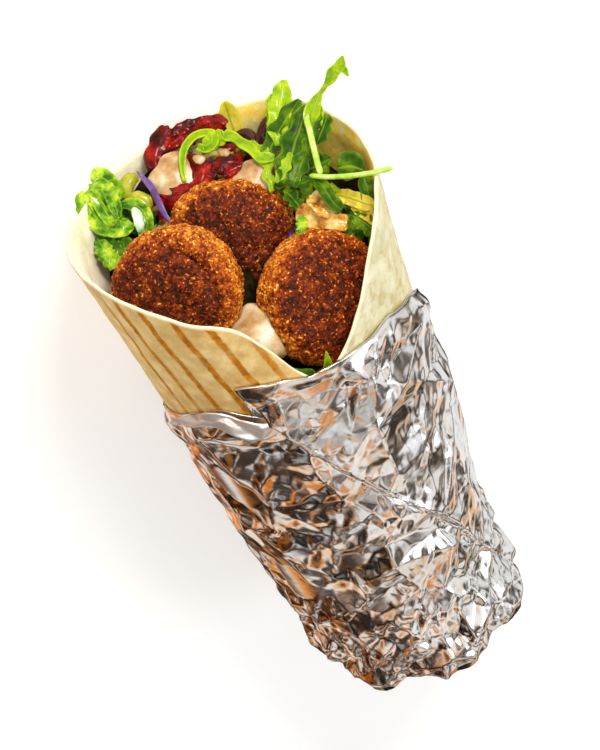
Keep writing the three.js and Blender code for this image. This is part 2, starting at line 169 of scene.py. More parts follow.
def sheet_bundle(middle, thick, uv):
    """A closed thin sheet about a grid (m, n, 3) of points, thick at each point."""
    m, n = middle.shape[:2]
    up = np.cross(np.gradient(middle, axis=0), np.gradient(middle, axis=1))
    up /= np.maximum(np.linalg.norm(up, axis=-1, keepdims=True), 1e-9)
    half = up * np.broadcast_to(thick, (m, n))[..., None] / 2
    rings = np.concatenate((middle + half, (middle - half)[:, ::-1]), axis=1)
    uvs = np.concatenate((uv, uv[:, ::-1]), axis=1)
    w = 2 * n
    faces = bands(m, w)
    top = (m - 1) * w
    for i in range(n - 1):
        faces.append([i + 1, i, w - 1 - i, w - 2 - i])
        faces.append([top + i, top + i + 1, top + w - 2 - i, top + w - 1 - i])
    return rings.reshape(-1, 3), faces, uvs.reshape(-1, 2)


def joined(bundles):
    """Many bundles as one."""
    points, faces, uvs, count = [], [], [], 0
    for p, f, uv in bundles:
        points.append(p)
        uvs.append(uv)
        faces += [[i + count for i in face] for face in f]
        count += len(p)
    return np.concatenate(points), faces, np.concatenate(uvs)


def piece(name, bundle, material, marks=None):
    """A mesh object from a bundle in roll millimetres, closed, outward and smooth."""
    points, faces, uv = bundle
    mesh = bpy.data.meshes.new(name)
    mesh.from_pydata(place(points).tolist(), [], faces)
    bm = bmesh.new()
    bm.from_mesh(mesh)
    if bm.calc_volume(signed=True) < 0:
        mesh.flip_normals()
    bm.free()
    loops = np.empty(len(mesh.loops), np.int64)
    mesh.loops.foreach_get("vertex_index", loops)
    layer = mesh.uv_layers.new(name="UVMap")
    layer.data.foreach_set("uv", np.asarray(uv, np.float32)[loops].ravel())
    for mark, values in (marks or {}).items():
        stored = mesh.attributes.new(mark, "FLOAT", "POINT")
        stored.data.foreach_set("value", np.asarray(values, np.float32).ravel())
    return on_stage(name, mesh, material)


def on_stage(name, mesh, *materials):
    """A smooth object made from a mesh, in the scene."""
    mesh.polygons.foreach_set("use_smooth", np.ones(len(mesh.polygons), bool))
    for material in materials:
        mesh.materials.append(material)
    made = bpy.data.objects.new(name, mesh)
    bpy.context.scene.collection.objects.link(made)
    return made


SHOWN = []


def show(made, slot, *nodes):
    """Ride on the one body and stand for CAD nodes. The slot is not used."""
    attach(made, "root")
    if nodes:
        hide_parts(*nodes)
    made.data.calc_loop_triangles()
    SHOWN.append((made.name, len(made.data.loop_triangles)))


def serve(name, bundle, material, slot, *nodes):
    """Make a piece from a bundle and show it."""
    show(piece(name, bundle, material), slot, *nodes)


# %% [markdown]
# ## Nodes, colours and food materials
# Colours are given as the sRGB hex values that a screen shows, and one function turns them into
# the linear values that shaders work in. A small class lets a node's output be added, multiplied
# and so on, which adds the Math nodes. Most foods share a recipe: a colour ramp driven by noise at
# the food's own scale, a moist and slightly translucent surface, and a bump from a finer noise.

# %% Colour and node helpers
def linear(colour):
    """An sRGB hex colour as linear red, green, blue and alpha."""
    parts = [int(colour[i : i + 2], 16) / 255 for i in (1, 3, 5)]
    return [c / 12.92 if c <= 0.04045 else ((c + 0.055) / 1.055) ** 2.4 for c in parts] + [1]


class Field:
    """One output of a node. Arithmetic on it adds Math nodes to the same tree."""

    def __init__(self, socket):
        self.socket = socket
        self.tree = socket.id_data

    def __add__(self, other):
        return maths("ADD", self, other)

    def __sub__(self, other):
        return maths("SUBTRACT", self, other)

    def __rsub__(self, other):
        return maths("SUBTRACT", other, self)

    def __mul__(self, other):
        return maths("MULTIPLY", self, other)

    def __truediv__(self, other):
        return maths("DIVIDE", self, other)

    def __abs__(self):
        return maths("ABSOLUTE", self)


def plug(node, inputs):
    """Set each input of a node to a value, a hex colour or another node's output."""
    for key, value in inputs.items():
        socket = node.inputs[key]
        if isinstance(value, Field):
            node.id_data.links.new(value.socket, socket)
        elif isinstance(value, str) and value.startswith("#"):
            socket.default_value = linear(value)[: len(socket.default_value)]
        else:
            socket.default_value = value


def add(tree, kind, inputs=None, **settings):
    """Add a node with its settings and its inputs."""
    made = tree.nodes.new(kind)
    for key, value in settings.items():
        setattr(made, key, value)
    plug(made, inputs or {})
    return made


def field(tree, kind, inputs=None, output=0, **settings):
    """Add a node and return one of its outputs."""
    return Field(add(tree, kind, inputs, **settings).outputs[output])


def maths(operation, *values):
    """One Math node on numbers and outputs."""
    tree = next(v.tree for v in values if isinstance(v, Field))
    return field(tree, "ShaderNodeMath", dict(enumerate(values)), operation=operation)


def clip(value):
    """The output of a Math node, now held between 0 and 1."""
    value.socket.node.use_clamp = True
    return value


def ramp(factor, stops):
    """A colour ramp through (place, hex colour) stops."""
    made = add(factor.tree, "ShaderNodeValToRGB", {"Fac": factor})
    elements = made.color_ramp.elements
    while len(elements) < len(stops):
        elements.new(0.5)
    for element, (where, colour) in zip(elements, stops):
        element.position = where
        element.color = linear(colour)
    return Field(made.outputs["Color"])


def mix(share, low, high, blend="MIX"):
    """Two colours mixed by a share."""
    tree = next(v.tree for v in (share, low, high) if isinstance(v, Field))
    inputs = {0: share, 6: low, 7: high}
    return field(tree, "ShaderNodeMix", inputs, 2, data_type="RGBA", blend_type=blend)


def parts(vector):
    """The X, Y and Z of a vector."""
    return [Field(out) for out in add(vector.tree, "ShaderNodeSeparateXYZ", {0: vector}).outputs]


def grainy(where, size, detail=4.0, rough=0.55):
    """Noise with lumps about size millimetres across, on Object coordinates in metres."""
    inputs = {"Vector": where, "Scale": 1 / (size * MM), "Detail": detail, "Roughness": rough}
    return field(where.tree, "ShaderNodeTexNoise", inputs)


def relief(height, depth, strength):
    """A shading normal from a height that is depth millimetres at most."""
    inputs = {"Height": height, "Distance": depth * MM, "Strength": strength}
    return field(height.tree, "ShaderNodeBump", inputs)


def mark(shader, name):
    """A number stored on the mesh's points."""
    return field(shader.id_data, "ShaderNodeAttribute", None, "Fac", attribute_name=name)


def blank(name):
    """A new material, its Principled shader, and its Object and UV coordinates."""
    material = bpy.data.materials.new(name)
    material.use_nodes = True
    where = add(material.node_tree, "ShaderNodeTexCoord").outputs
    shader = material.node_tree.nodes["Principled BSDF"]
    return material, shader, Field(where["Object"]), Field(where["UV"])


def food(name, stops, size, rough, bump=0.3, fine=0.8, soak=0.0, juice="#FFFFFF", coat=0.0, gloss=0.5):
    """A moist food: ramp stops over noise of a size, bump in mm at a fine size, soak of light."""
    material, shader, where, _ = blank(name)
    plug(shader, {"Base Color": ramp(grainy(where, size), stops), "Roughness": rough, "IOR": 1.4})
    plug(shader, {"Normal": relief(grainy(where, fine, detail=3.0), bump, 0.8)})
    plug(shader, {"Coat Weight": coat, "Coat Roughness": 0.08, "Specular IOR Level": gloss})
    plug(shader, {"Subsurface Weight": soak, "Subsurface Scale": 1.5 * MM, "Subsurface Radius": juice})
    return material


print("white is", linear("#FFFFFF")[:3])

# %% [markdown]
# ## The camera, the floor and the light
# The camera looks down at the lying roll at 57 degrees and is turned about its own axis, so that
# the roll runs from upper left to lower right. A long lens 0.7 m away keeps the perspective weak.
# A pale matt floor and large soft lights are all the studio has. Foil shows only what surrounds
# it, so the surroundings that are out of view run from white overhead to warm brown low down.

# %% Camera
DISTANCE = 0.70
LOOK_DOWN = math.radians(57)
TURN = math.radians(180 - 24.5)
aim = Vector(place([0, 0, -66]))
away = Vector((0, -math.cos(LOOK_DOWN), math.sin(LOOK_DOWN)))
right = Vector((1, 0, 0))
upward = away.cross(right)
facing = Matrix((right, upward, away)).transposed() @ Matrix.Rotation(TURN, 3, "Z")
camera_data = bpy.data.cameras.new("camera")
camera_data.lens = 108.4
camera_data.clip_start = 0.01
camera = bpy.data.objects.new("camera", camera_data)
bpy.context.scene.collection.objects.link(camera)
camera.matrix_world = Matrix.Translation(aim + away * DISTANCE) @ facing.to_4x4()
bpy.context.scene.camera = camera
bpy.context.scene.view_settings.view_transform = "Standard"
print("camera at", [round(c, 3) for c in camera.location])

# %% Floor
FLOOR_HALF = 2.5
floor_mesh = bpy.data.meshes.new("floor")
corners = [(-1, -1, 0), (1, -1, 0), (1, 1, 0), (-1, 1, 0)]
floor_mesh.from_pydata([[c * FLOOR_HALF for c in p] for p in corners], [], [[0, 1, 2, 3]])
floor = bpy.data.objects.new("floor", floor_mesh)
bpy.context.scene.collection.objects.link(floor)
paper, paper_shader, paper_where, _ = blank("white_backdrop_paper")
paper_tone = ramp(grainy(paper_where, 90), [(0.3, "#F4F3F1"), (0.7, "#F8F7F5")])
plug(paper_shader, {"Base Color": paper_tone, "Roughness": 0.9})
plug(paper_shader, {"Emission Color": "#FFFFFF", "Emission Strength": 0.25})  # lit through from below
floor_mesh.materials.append(paper)
floor.visible_glossy = False  # the foil then shows the surroundings and not a white sheet
print("floor is", 2 * FLOOR_HALF, "m across")

# %% Lights
def softbox(name, where, size, power, colour):
    """A square area light that looks at the roll."""
    data = bpy.data.lights.new(name, "AREA")
    data.size = size
    data.energy = power
    data.color = linear(colour)[:3]
    made = bpy.data.objects.new(name, data)
    bpy.context.scene.collection.objects.link(made)
    made.location = where
    made.rotation_euler = (Vector(where) - aim).to_track_quat("Z", "Y").to_euler()
    return made


softbox("key", (-0.5, -1.0, 0.75), 0.42, 13.5, "#FFF8EC")
softbox("window", (-0.9, 0.35, 0.75), 0.5, 2.6, "#EEF4FF")
softbox("overhead", (0.15, -0.3, 1.3), 0.6, 4.2, "#FFFFFF")
softbox("fill", (1.0, -0.6, 0.7), 0.4, 2.0, "#FFF4E6")

# %% Surroundings: what only shows as a reflection, and what lights the rest
world = bpy.data.worlds.new("studio")
bpy.context.scene.world = world
world.use_nodes = True
sky = world.node_tree
seen = field(sky, "ShaderNodeTexCoord", None, "Generated")
sideways, _, upwards = parts(seen)
room = {"Vector": seen, "Scale": 3.0, "Detail": 1.6, "Roughness": 0.5, "Distortion": 0.3}
bright = sideways * -0.2 + upwards * 0.06 - 2.3
bright = clip(bright + field(sky, "ShaderNodeTexNoise", room) * 5.8)
tones = [(0.06, "#0D0B0B"), (0.22, "#3B2E26"), (0.3, "#66503E"), (0.37, "#94806A"), (0.43, "#BCA080")]
tones += [(0.48, "#8C8178"), (0.55, "#9E9D9B"), (0.68, "#D6DADF"), (0.86, "#FFFFFF")]
patches = field(sky, "ShaderNodeTexNoise", {"Vector": seen, "Scale": 4.2, "Detail": 1.0})
wooden = clip(patches * 4.2 + (sideways * 0.5 - 1.85))
WOOD = [(0.0, "#FFFFFF"), (0.4, "#FFEEDC"), (0.68, "#FFD0A0"), (0.85, "#FFAC54"), (1.0, "#FF8C14")]
room_colour = mix(1.0, ramp(bright, tones), ramp(wooden, WOOD), "MULTIPLY")


def glow(colour, strength):
    """A background of one brightness."""
    return field(sky, "ShaderNodeBackground", {"Color": colour, "Strength": strength})


ray = add(sky, "ShaderNodeLightPath").outputs
chosen = glow("#F3F2F0", 0.5)
for kind, light in (("Is Glossy Ray", glow(room_colour, 1.0)), ("Is Camera Ray", glow("#FBFAF8", 1.0))):
    chosen = field(sky, "ShaderNodeMixShader", {0: Field(ray[kind]), 1: chosen, 2: light})
plug(sky.nodes["World Output"], {"Surface": chosen})
sky.nodes.remove(sky.nodes["Background"])

# %% [markdown]
# ## The tortilla
# A wheat tortilla is a soft sheet 2 mm thick, rolled so that its two flaps meet in a deep V at
# the front. Its outside shows the bars of the grill, its inside pale toast marks, and its rim a
# thin paler line. It is one wall of rings, fine above the foil where it shows and coarse below.

# %% The tortilla's shape
rim_height = round_curve(
    [(-180, 4), (-147, 5), (-115, 1), (-90, -3), (-72, -4.5), (-60, -8), (-47, -14), (-32, -25)]
    + [(-17, -35), (-8, -38.5), (0, -31), (7, -18), (15, -7), (27, -1.5), (43, 5), (66, 8)]
    + [(90, 8.5), (118, 6), (145, 4.5), (180, 4)]
)


def pressed(r, flat, angle):
    """Distance from the axis of a section that is pressed flat underneath."""
    under = np.cos(np.radians(180 - angle))
    return np.where(under > 0.5, np.minimum(r, flat / np.maximum(under, 0.5)), r)


def tortilla_radius(angle, h):
    """The CAD model's outside: a little out of round, with the flap at +x standing proud."""
    s = LENGTH + h
    grown = np.clip(s / LENGTH, 0, 1.1)
    circle = R_END + SLOPE * s
    wave = 0.7 * np.sin(np.radians(2 * angle + 30))
    wave = wave + 0.45 * np.sin(np.radians(3 * angle - 80) + s / 60)
    flap = 1.5 * np.exp(-(((angle - 32) / 26) ** 2)) * smooth(s, 110, 165)
    slim = 2.8 * np.maximum(0, np.sin(np.radians(angle))) ** 2 * (1 - grown)
    return pressed(circle + wave * grown + flap - slim, circle - PRESSED, angle)


def polar(angle, r, h):
    a = np.radians(angle)
    angle, r, h = np.broadcast_arrays(a, r, h)
    return np.stack((r * np.sin(angle), r * np.cos(angle), h), -1)


# %% The tortilla's wall
FLOOR_H = 4 - LENGTH  # height of the tucked closed end
BARE = -72  # the foil covers all that is lower
around_roll = np.linspace(-180, 180, 361)[:-1] + 0.5
UNROLL = 45 * math.pi / 180  # millimetres round the roll for a degree
UV_MM = 0.01  # one UV unit is 100 mm


def wall(share, inset):
    """One ring at a share of the bare wall's height, with the soft dents of a baked sheet."""
    top = rim_height(around_roll) + 0.35 * np.sin(around_roll / 7) * np.sin(around_roll / 17)
    h = BARE + (top - BARE) * share
    inset = inset * (0.6 + 0.4 * smooth(top - h, 0, 6))  # the baked edge is thinner
    ring = polar(around_roll, tortilla_radius(around_roll, h) - inset, h)
    dent = 0.38 * noise(ring, 11, 3) + 0.22 * noise(ring, 4.5, 4)
    dent = dent * smooth(np.abs(around_roll), 165, 150)
    dent = np.minimum(dent, 0.6 * smooth(h, -27, -15))
    return polar(around_roll, tortilla_radius(around_roll, h) - inset + dent, h)


shares = np.linspace(0, 1, 96)
lower = [polar(around_roll, tortilla_radius(around_roll, h), h) for h in (FLOOR_H, -130, -95)]
outer = [wall(share, 0) for share in shares]
inner = [wall(share, SHEET) for share in shares[::-1]]
bend = [outer[-1] * (1 - k) + inner[0] * k for k in (0.16, 0.36, 0.64, 0.84)]
for ring, lift in zip(bend, (0.4, 0.62, 0.62, 0.4)):
    ring[:, 2] += lift
inside_low = [polar(around_roll, tortilla_radius(around_roll, h) - SHEET, h) for h in (-95, -130)]
inside_low.append(polar(around_roll, tortilla_radius(around_roll, FLOOR_H) - SHEET, FLOOR_H + SHEET))
rings = np.array(lower + outer + bend + inner + inside_low)
outside = np.array([1.0] * (len(lower) + len(outer)) + [0.8, 0.6, 0.4, 0.2])
outside = np.append(outside, np.zeros(len(rings) - len(outside)))
rim_mark = np.zeros(len(rings))
rim_row = len(lower) + len(outer)
rim_mark[rim_row - 1 : rim_row + 5] = [0.6, 1, 1, 1, 1, 0.6]
turned = np.broadcast_to(around_roll, rings.shape[:2])
tortilla_uv = np.stack((turned * UNROLL * UV_MM, rings[..., 2] * UV_MM), -1)
tortilla_bundle = ring_bundle(rings, [0, 0, FLOOR_H], [0, 0, FLOOR_H + SHEET], tortilla_uv)
n_round = len(around_roll)
marks = {
    "outside": np.concatenate(([1], np.repeat(outside, n_round), [0])),
    "rim": np.concatenate(([0], np.repeat(rim_mark, n_round), [0])),
}
print("tortilla rings:", rings.shape)

# %% [markdown]
# The sheet's look is painted on its own UV map, unrolled in hundreds of millimetres, so that the
# grill bars run straight along the sheet and not through space. Bars are 8 mm apart and just
# under 2 mm wide. Their tilt is the angle at which the roll lay on the grill. Blotches are noise
# a few millimetres across. Baked dough is a rough dielectric with an IOR near 1.4.

# %% Baked tortilla material
BAR_PITCH = 8.0
BAR_TILT = 0.17  # millimetres sideways for a millimetre along the roll
BAR_START = 9.5
BAR_HALF = 1.05


def tortilla_material():
    """Cream and pale outside with grill bars, inside painted golden for light shining through, a floury rim.
    """
    material, shader, space, flat = blank("baked_wheat_tortilla")
    outside = mark(shader, "outside")
    rim = mark(shader, "rim")
    round_uv, along_uv, _ = parts(flat)
    round_mm = round_uv * (1 / UV_MM)
    along_mm = along_uv * (1 / UV_MM)

    bar = round_mm - along_mm * BAR_TILT + (grainy(space, 12) * 1.4 - 0.7)
    bar = (bar - BAR_START) / BAR_PITCH
    bar = abs(bar - maths("ROUND", bar)) * BAR_PITCH
    ragged = grainy(space, 1.3) * 0.9 - 0.45
    front = clip(round_mm * 0.3 - 0.8) * clip(round_mm * -0.3 + 15.5)
    front = maths("MAXIMUM", front, clip(abs(round_mm) * 0.1 - 7.4))
    strong = clip((BAR_HALF + 0.2 - (bar + ragged)) / 0.55) * clip(grainy(space, 10) * 3.0 - 0.45)
    strong = strong * front * outside * clip(1.0 - rim)

    cream = ramp(grainy(space, 6), [(0.3, "#C29440"), (0.5, "#D9B260"), (0.72, "#E9CE8C")])
    pale = ramp(grainy(space, 8), [(0.3, "#BFB886"), (0.5, "#D0CBA2"), (0.72, "#E2DEC4")])
    # The +x flap is painted a darker, more golden cream than the -x flap: partly its own baked colour, partly
    # painted shade, as it faces away from the key light.
    left = clip(round_mm * 0.12 + 0.9)
    within = ramp(grainy(space, 9), [(0.3, "#F3EBC8"), (0.5, "#F6F1DE"), (0.7, "#DDD9A8")])
    # Painted light: on the -x side the inner wall is painted bright gold for the warm light that shines
    # through the thin sheet.
    gold = [(0.34, "#FFF3AC"), (0.48, "#FFE450"), (0.62, "#FFCA20"), (0.72, "#D88010")]
    oily = clip(parts(space)[0] * -45.0 + 0.35)
    within = mix(oily, within, ramp(grainy(space, 9), gold))
    body = mix(outside, within, mix(left, pale, cream))
    spots = clip(grainy(space, 5.5, rough=0.62) * 7.0 - 3.5) * (1.0 - left * 0.75)
    body = mix(spots * (outside * 0.27 + 0.35), body, mix(outside, "#D8941E", "#AC9244"))
    body = mix(grainy(space, 0.7) * 0.16, body, "#FFFDF4")
    toast = ramp(grainy(space, 2.2), [(0.3, "#985600"), (0.6, "#C67E06"), (0.8, "#DCA22A")])
    warm = clip(bar * -0.5 + 1.1) * 0.35 * front * outside
    body = mix(strong, mix(warm, body, "#CF9A48"), toast)
    body = mix(rim * 0.6, body, "#F6EFD9")
    plug(shader, {"Base Color": body, "Roughness": 0.75, "IOR": 1.4, "Specular IOR Level": 0.25})
    plug(shader, {"Normal": relief(grainy(space, 0.6) * 0.25 + grainy(space, 3.0), 0.5, 0.7)})
    plug(shader, {"Subsurface Weight": 0.12, "Subsurface Scale": 1.5 * MM, "Subsurface Radius": "#FFE2B0"})
    return material


baked_tortilla = tortilla_material()
show(piece("rolled_tortilla", tortilla_bundle, baked_tortilla, marks), "tortilla", "tortilla")
print("bars are", BAR_PITCH, "mm apart")

# %% [markdown]
# ## The foil
# Household foil creases into flat facets with sharp edges between them, large where the sheet
# lies smooth and small where it is scrunched. A sheet of random points, joined into triangles,
# has just those facets, so three such sheets of different facet sizes are laid over the roll. A
# ray down through the triangles gives the height at each point of a fine grid. The outer turn's
# free edge is a step that runs down across the front, and the bunched end leans out to -x.

# %% Facets
FACET_SEED = 11


def facets(u, v, size, stretch=1.0, lean=0.0, seed=0):
    """Height from -1 to 1 of flat facets about size mm across, drawn out stretch times."""
    c, s = math.cos(math.radians(lean)), math.sin(math.radians(lean))
    p = (u * c + v * s) / size
    q = (v * c - u * s) / (size * stretch)
    draw = np.random.default_rng(FACET_SEED + seed)
    i = np.arange(math.floor(p.min()) - 2, math.ceil(p.max()) + 3)
    j = np.arange(math.floor(q.min()) - 2, math.ceil(q.max()) + 3)
    lattice = np.stack(np.meshgrid(i, j, indexing="ij"), -1).reshape(-1, 2)
    lattice = lattice + draw.uniform(-0.48, 0.48, lattice.shape)
    heights = draw.uniform(-1, 1, len(lattice))
    found = delaunay_2d_cdt([Vector(k) for k in lattice.tolist()], [], [], 0, 1e-6)
    corners = [(k.x, k.y, heights[o[0]]) for k, o in zip(found[0], found[3])]
    net = BVHTree.FromPolygons(corners, found[2])
    down = Vector((0, 0, -1))
    flat = zip(p.ravel().tolist(), q.ravel().tolist())
    hits = [net.ray_cast(Vector((a, b, 5)), down)[0] for a, b in flat]
    return np.array([k.z if k else 0.0 for k in hits]).reshape(p.shape)


def flat_facets(angle, h, size, stretch, lean, rise, seed):
    """Distance from the axis of truly flat facets, their corners up to rise mm off the roll."""
    c, s = math.cos(math.radians(lean)), math.sin(math.radians(lean))
    draw = np.random.default_rng(FACET_SEED + seed)
    reach = int(260 / size)
    i = np.arange(-reach, reach + 1)
    p, q = (draw.uniform(-0.46, 0.46, (len(i), len(i))) + k for k in np.meshgrid(i, i, indexing="ij"))
    u = size * (p * c - q * stretch * s)
    v = size * (p * s + q * stretch * c)
    kept = (np.abs(u) < 40 * math.pi) & (v < -10) & (v > -205)
    u, v = u[kept], v[kept]
    corner_angle = np.degrees(u / 40)
    r = tortilla_radius(corner_angle, v) + CLEAR + draw.uniform(0, rise, len(u))
    found = delaunay_2d_cdt([Vector(k) for k in zip(u.tolist(), v.tolist())], [], [], 0, 1e-6)
    solid = polar(corner_angle, r, v)
    net = BVHTree.FromPolygons([tuple(solid[o[0]]) for o in found[3]], found[2])
    turned = np.radians(angle.ravel())
    rays = zip(np.sin(turned).tolist(), np.cos(turned).tolist(), h.ravel().tolist())
    hits = [net.ray_cast(Vector((0, 0, z)), Vector((a, b, 0)))[3] for a, b, z in rays]
    plain = (tortilla_radius(angle, h) + CLEAR).ravel()
    return np.array([k if k else d for k, d in zip(hits, plain)]).reshape(h.shape)


# %% The foil's edges
FOIL_CORNER = 24  # angle of the outer turn's free corner
outer_top = round_curve(
    [(-180, -66), (-110, -66), (-90, -55), (-75, -46), (-60, -40), (-40, -35), (-20, -34.5)]
    + [(0, -32), (14, -28.5), (24, -27.5), (90, -50), (180, -66)]
)
inner_top = round_curve(
    [(-180, -66), (-90, -50), (16, -43.5), (24, -40.5), (33, -36.5), (45, -40), (60, -45)]
    + [(90, -55), (112, -66), (180, -66)]
)
free_edge = round_curve(
    [(-180, -160), (-62, -150), (-40, -122), (-17, -95), (-4, -78), (4, -65), (17, -44)]
    + [(24, -36), (90, -30), (180, -160)]
)

fine_angles = np.linspace(-120, 120, 250)
under_angles = np.linspace(120, 240, 82)[1:-1]
foil_angles = np.sort(np.concatenate((fine_angles, (under_angles + 180) % 360 - 180)))
FOIL_ROWS = 262


def foil_foot(angle):
    return -LENGTH - 5 * np.cos(np.radians(angle + 15))


# %% The foil's skin
def slipped(angle, h):
    """The free corner leans: its edge runs down and towards -x, and takes the sheet along."""
    lean = 6.5 * smooth(-h, 26, 44) * (1 - smooth(-h, 58, 95))
    return angle - lean * np.exp(-(((angle - FOIL_CORNER) / 24) ** 2))


base_a, grid_k = np.meshgrid(foil_angles, np.linspace(0, 1, FOIL_ROWS))
top_edge = np.where(foil_angles <= FOIL_CORNER, outer_top(foil_angles), inner_top(foil_angles - 5))
top_edge = top_edge + 0.6 * facets(foil_angles * UNROLL, foil_angles * 0, 5, seed=5)
foot = foil_foot(foil_angles)
shoulder = np.minimum(outer_top(foil_angles), inner_top(foil_angles)) - 5
SHOULDER_ROW = 0.78
foil_h = foot + (shoulder - foot) * np.minimum(grid_k / SHOULDER_ROW, 1)
foil_h += (top_edge - shoulder) * np.maximum(grid_k - SHOULDER_ROW, 0) / (1 - SHOULDER_ROW)
grid_a = slipped(base_a, foil_h)
foil_u = grid_a * 40 * math.pi / 180

inside_r = tortilla_radius(grid_a, foil_h) + CLEAR
near_end = smooth(-foil_h, 128, 150)
side_folds = smooth(free_edge(grid_a) - foil_h, -2, 3)
large = flat_facets(grid_a, foil_h, 12, 1.7, -16, 4.2, seed=1) - inside_r
long_folds = flat_facets(grid_a, foil_h, 7, 4.2, 15, 4.0, seed=2) - inside_r
bunched = flat_facets(grid_a, foil_h, 5.2, 1.5, 35, 3.8, seed=3) - inside_r
medium = facets(foil_u, foil_h, 5.0, 1.8, 30, seed=4)
small = facets(foil_u, foil_h, 2.4, 1.4, 0, seed=6)
crumple = large * (1 - side_folds) + long_folds * side_folds
crumple = crumple * (1 - near_end) + bunched * near_end
crumple = crumple + (0.75 + 0.2 * near_end) * medium + (0.27 + 0.1 * near_end) * small
flat_under = 1 - smooth(np.abs(grid_a), 140, 158)
hem = smooth((top_edge - foil_h) / (1 + 0.9 * smooth(np.abs(base_a - 42), 26, 14)), 0, 6)

above = smooth(foil_h - free_edge(grid_a), -0.4, 0.4)
above = above * smooth(FOIL_CORNER - base_a, -0.4, 0.4)
lip = np.exp(-np.maximum(foil_h - free_edge(grid_a), 0) / 2.5)
lap = above * (0.8 + 0.7 * lip)
bunch = smooth(-foil_h, LENGTH - 28, LENGTH + 2)
lean_out = np.exp(-(((grid_a + 72) / 58) ** 2))
pinch = 1.2 * bunch * np.sin(np.radians(grid_a * 7) + foil_h / 5)
wall_r = 0.3 + lap + 5.2 * bunch * lean_out + (crumple + pinch) * (0.08 + 0.92 * hem) * flat_under
resting = R_END + SLOPE * (LENGTH + foil_h) + CLEAR + FOIL - PRESSED
skin_r = inside_r + np.maximum(wall_r, 0.3) + 2 * (1 - flat_under)
skin_r = pressed(skin_r, resting, grid_a)
skin = polar(grid_a, skin_r, foil_h)
print("foil skin:", skin.shape, "radius %.1f to %.1f mm" % (skin_r.min(), skin_r.max()))

# %% The bunched end and the inside
END_RINGS = np.linspace(0.06, 0.97, 34)
end_rings = []
for share in END_RINGS:
    drop = 6 * np.cos(np.radians(foil_angles + 15)) * share
    pleats = 1.7 * np.cos(np.radians(8 * foil_angles) + 2 * share) * share
    spot = polar(foil_angles, skin_r[0] * share, foil_angles * 0)
    rough = 2.4 * facets(spot[:, 0], spot[:, 1], 8, seed=7) + 0.6 * facets(spot[:, 0], spot[:, 1], 4, seed=8)
    base = np.interp(share, [0, 0.35, 0.7, 0.93, 1], [-3.4, -4.6, -3.8, -1.4, -1])
    spot[:, 2] = -LENGTH + base - drop - pleats + rough * smooth(share, 1.05, 0.8)
    end_rings.append(spot)
inner_rows = []
for k in (1, 0.6, 0.3, 0):
    h = FLOOR_H - CLEAR + (top_edge - 0.25 - FLOOR_H + CLEAR) * k
    turned = slipped(foil_angles, h)
    inner_rows.append(polar(turned, tortilla_radius(turned, h) + CLEAR * 0.6, h))
foil_rings = np.concatenate((np.array(end_rings), skin, np.array(inner_rows)))
foil_uv = np.stack((np.broadcast_to(foil_angles, foil_rings.shape[:2]) * UNROLL, foil_rings[..., 2]), -1)
foil_ends = [0, 0, -LENGTH - 4], [0, 0, FLOOR_H - CLEAR]
foil_bundle = ring_bundle(foil_rings, *foil_ends, foil_uv * UV_MM)

# %% [markdown]
# Foil is rolled aluminium, bright and hardly rough, so it needs no colour of its own beyond a
# pale grey. Creases that are too fine for the mesh are bump. The small change of tone, in random
# patches towards a warm grey, is painted reflection of the food, and the folded corner's pinkish
# tan is painted reflection too.


# %% Rolled aluminium foil material
def foil_material(name, warm, least, metal):
    """Foil whose tone runs in patches to a warm colour, a painted reflection, and whose roughness starts at
    least.
    """
    material, shader, where, _ = blank(name)
    tone = ramp(grainy(where, 16), [(0.3, warm), (0.5, "#E8E7E5"), (0.7, "#F4F4F5")])
    plug(shader, {"Base Color": tone, "Roughness": grainy(where, 8) * 0.14 + least, "Metallic": metal})
    plug(shader, {"Normal": relief(grainy(where, 4.0, detail=2.0), 0.25, 0.25)})
    return material


rolled_foil = foil_material("rolled_aluminium_foil", "#E0DCD6", 0.1, 1.0)
serve("crumpled_foil", foil_bundle, rolled_foil, "foil", "foil")

# %% The folded corner of the inner turn
fold_a = np.linspace(15, 62, 60)[:, None]
fold_k = np.linspace(0, 1, 12)[None, :]
fold_width = np.interp(fold_a, [15, 20, 26, 34, 46, 62], [3.0, 5.4, 7.2, 6.0, 3.4, 1.6])
fold_h = inner_top(fold_a - 3) + 0.5 - fold_width * fold_k + 0.5 * facets(fold_a, fold_k * 9, 4, seed=9)
fold_lift = 1.5 + 1.9 * fold_k + 0.8 * facets(fold_a * 0.8, fold_k * 7, 4, seed=10)
fold_r = tortilla_radius(fold_a, fold_h) + CLEAR + fold_lift
fold_uv = np.stack(np.broadcast_arrays(fold_a * UNROLL * UV_MM, fold_h * UV_MM), -1)
corner_fold = sheet_bundle(polar(fold_a, fold_r, fold_h), 0.25, fold_uv)
# The fold's pinkish tan is painted warm reflection.
folded_foil = foil_material("folded_aluminium_foil", "#E9C6A8", 0.3, 0.8)
serve("foil_corner_fold", corner_fold, folded_foil, "foil")
print("the fold is %.1f mm at its widest" % fold_width.max())

# %% [markdown]
# ## The falafel
# Each falafel is a thick disc of fried chickpea crumb with a rounded rim. The plain disc is a
# superellipsoid with the CAD model's sizes. A Geometry Nodes tree gives it the crumb: lumps, then
# grains about a millimetre across, and a stored height that the material colours by. A second
# tree scatters loose crumbs on top, each a small cut stone of 20 faces.

# %% A disc from the CAD model's numbers
FALAFEL_R = 20
FALAFEL_H = 10.5


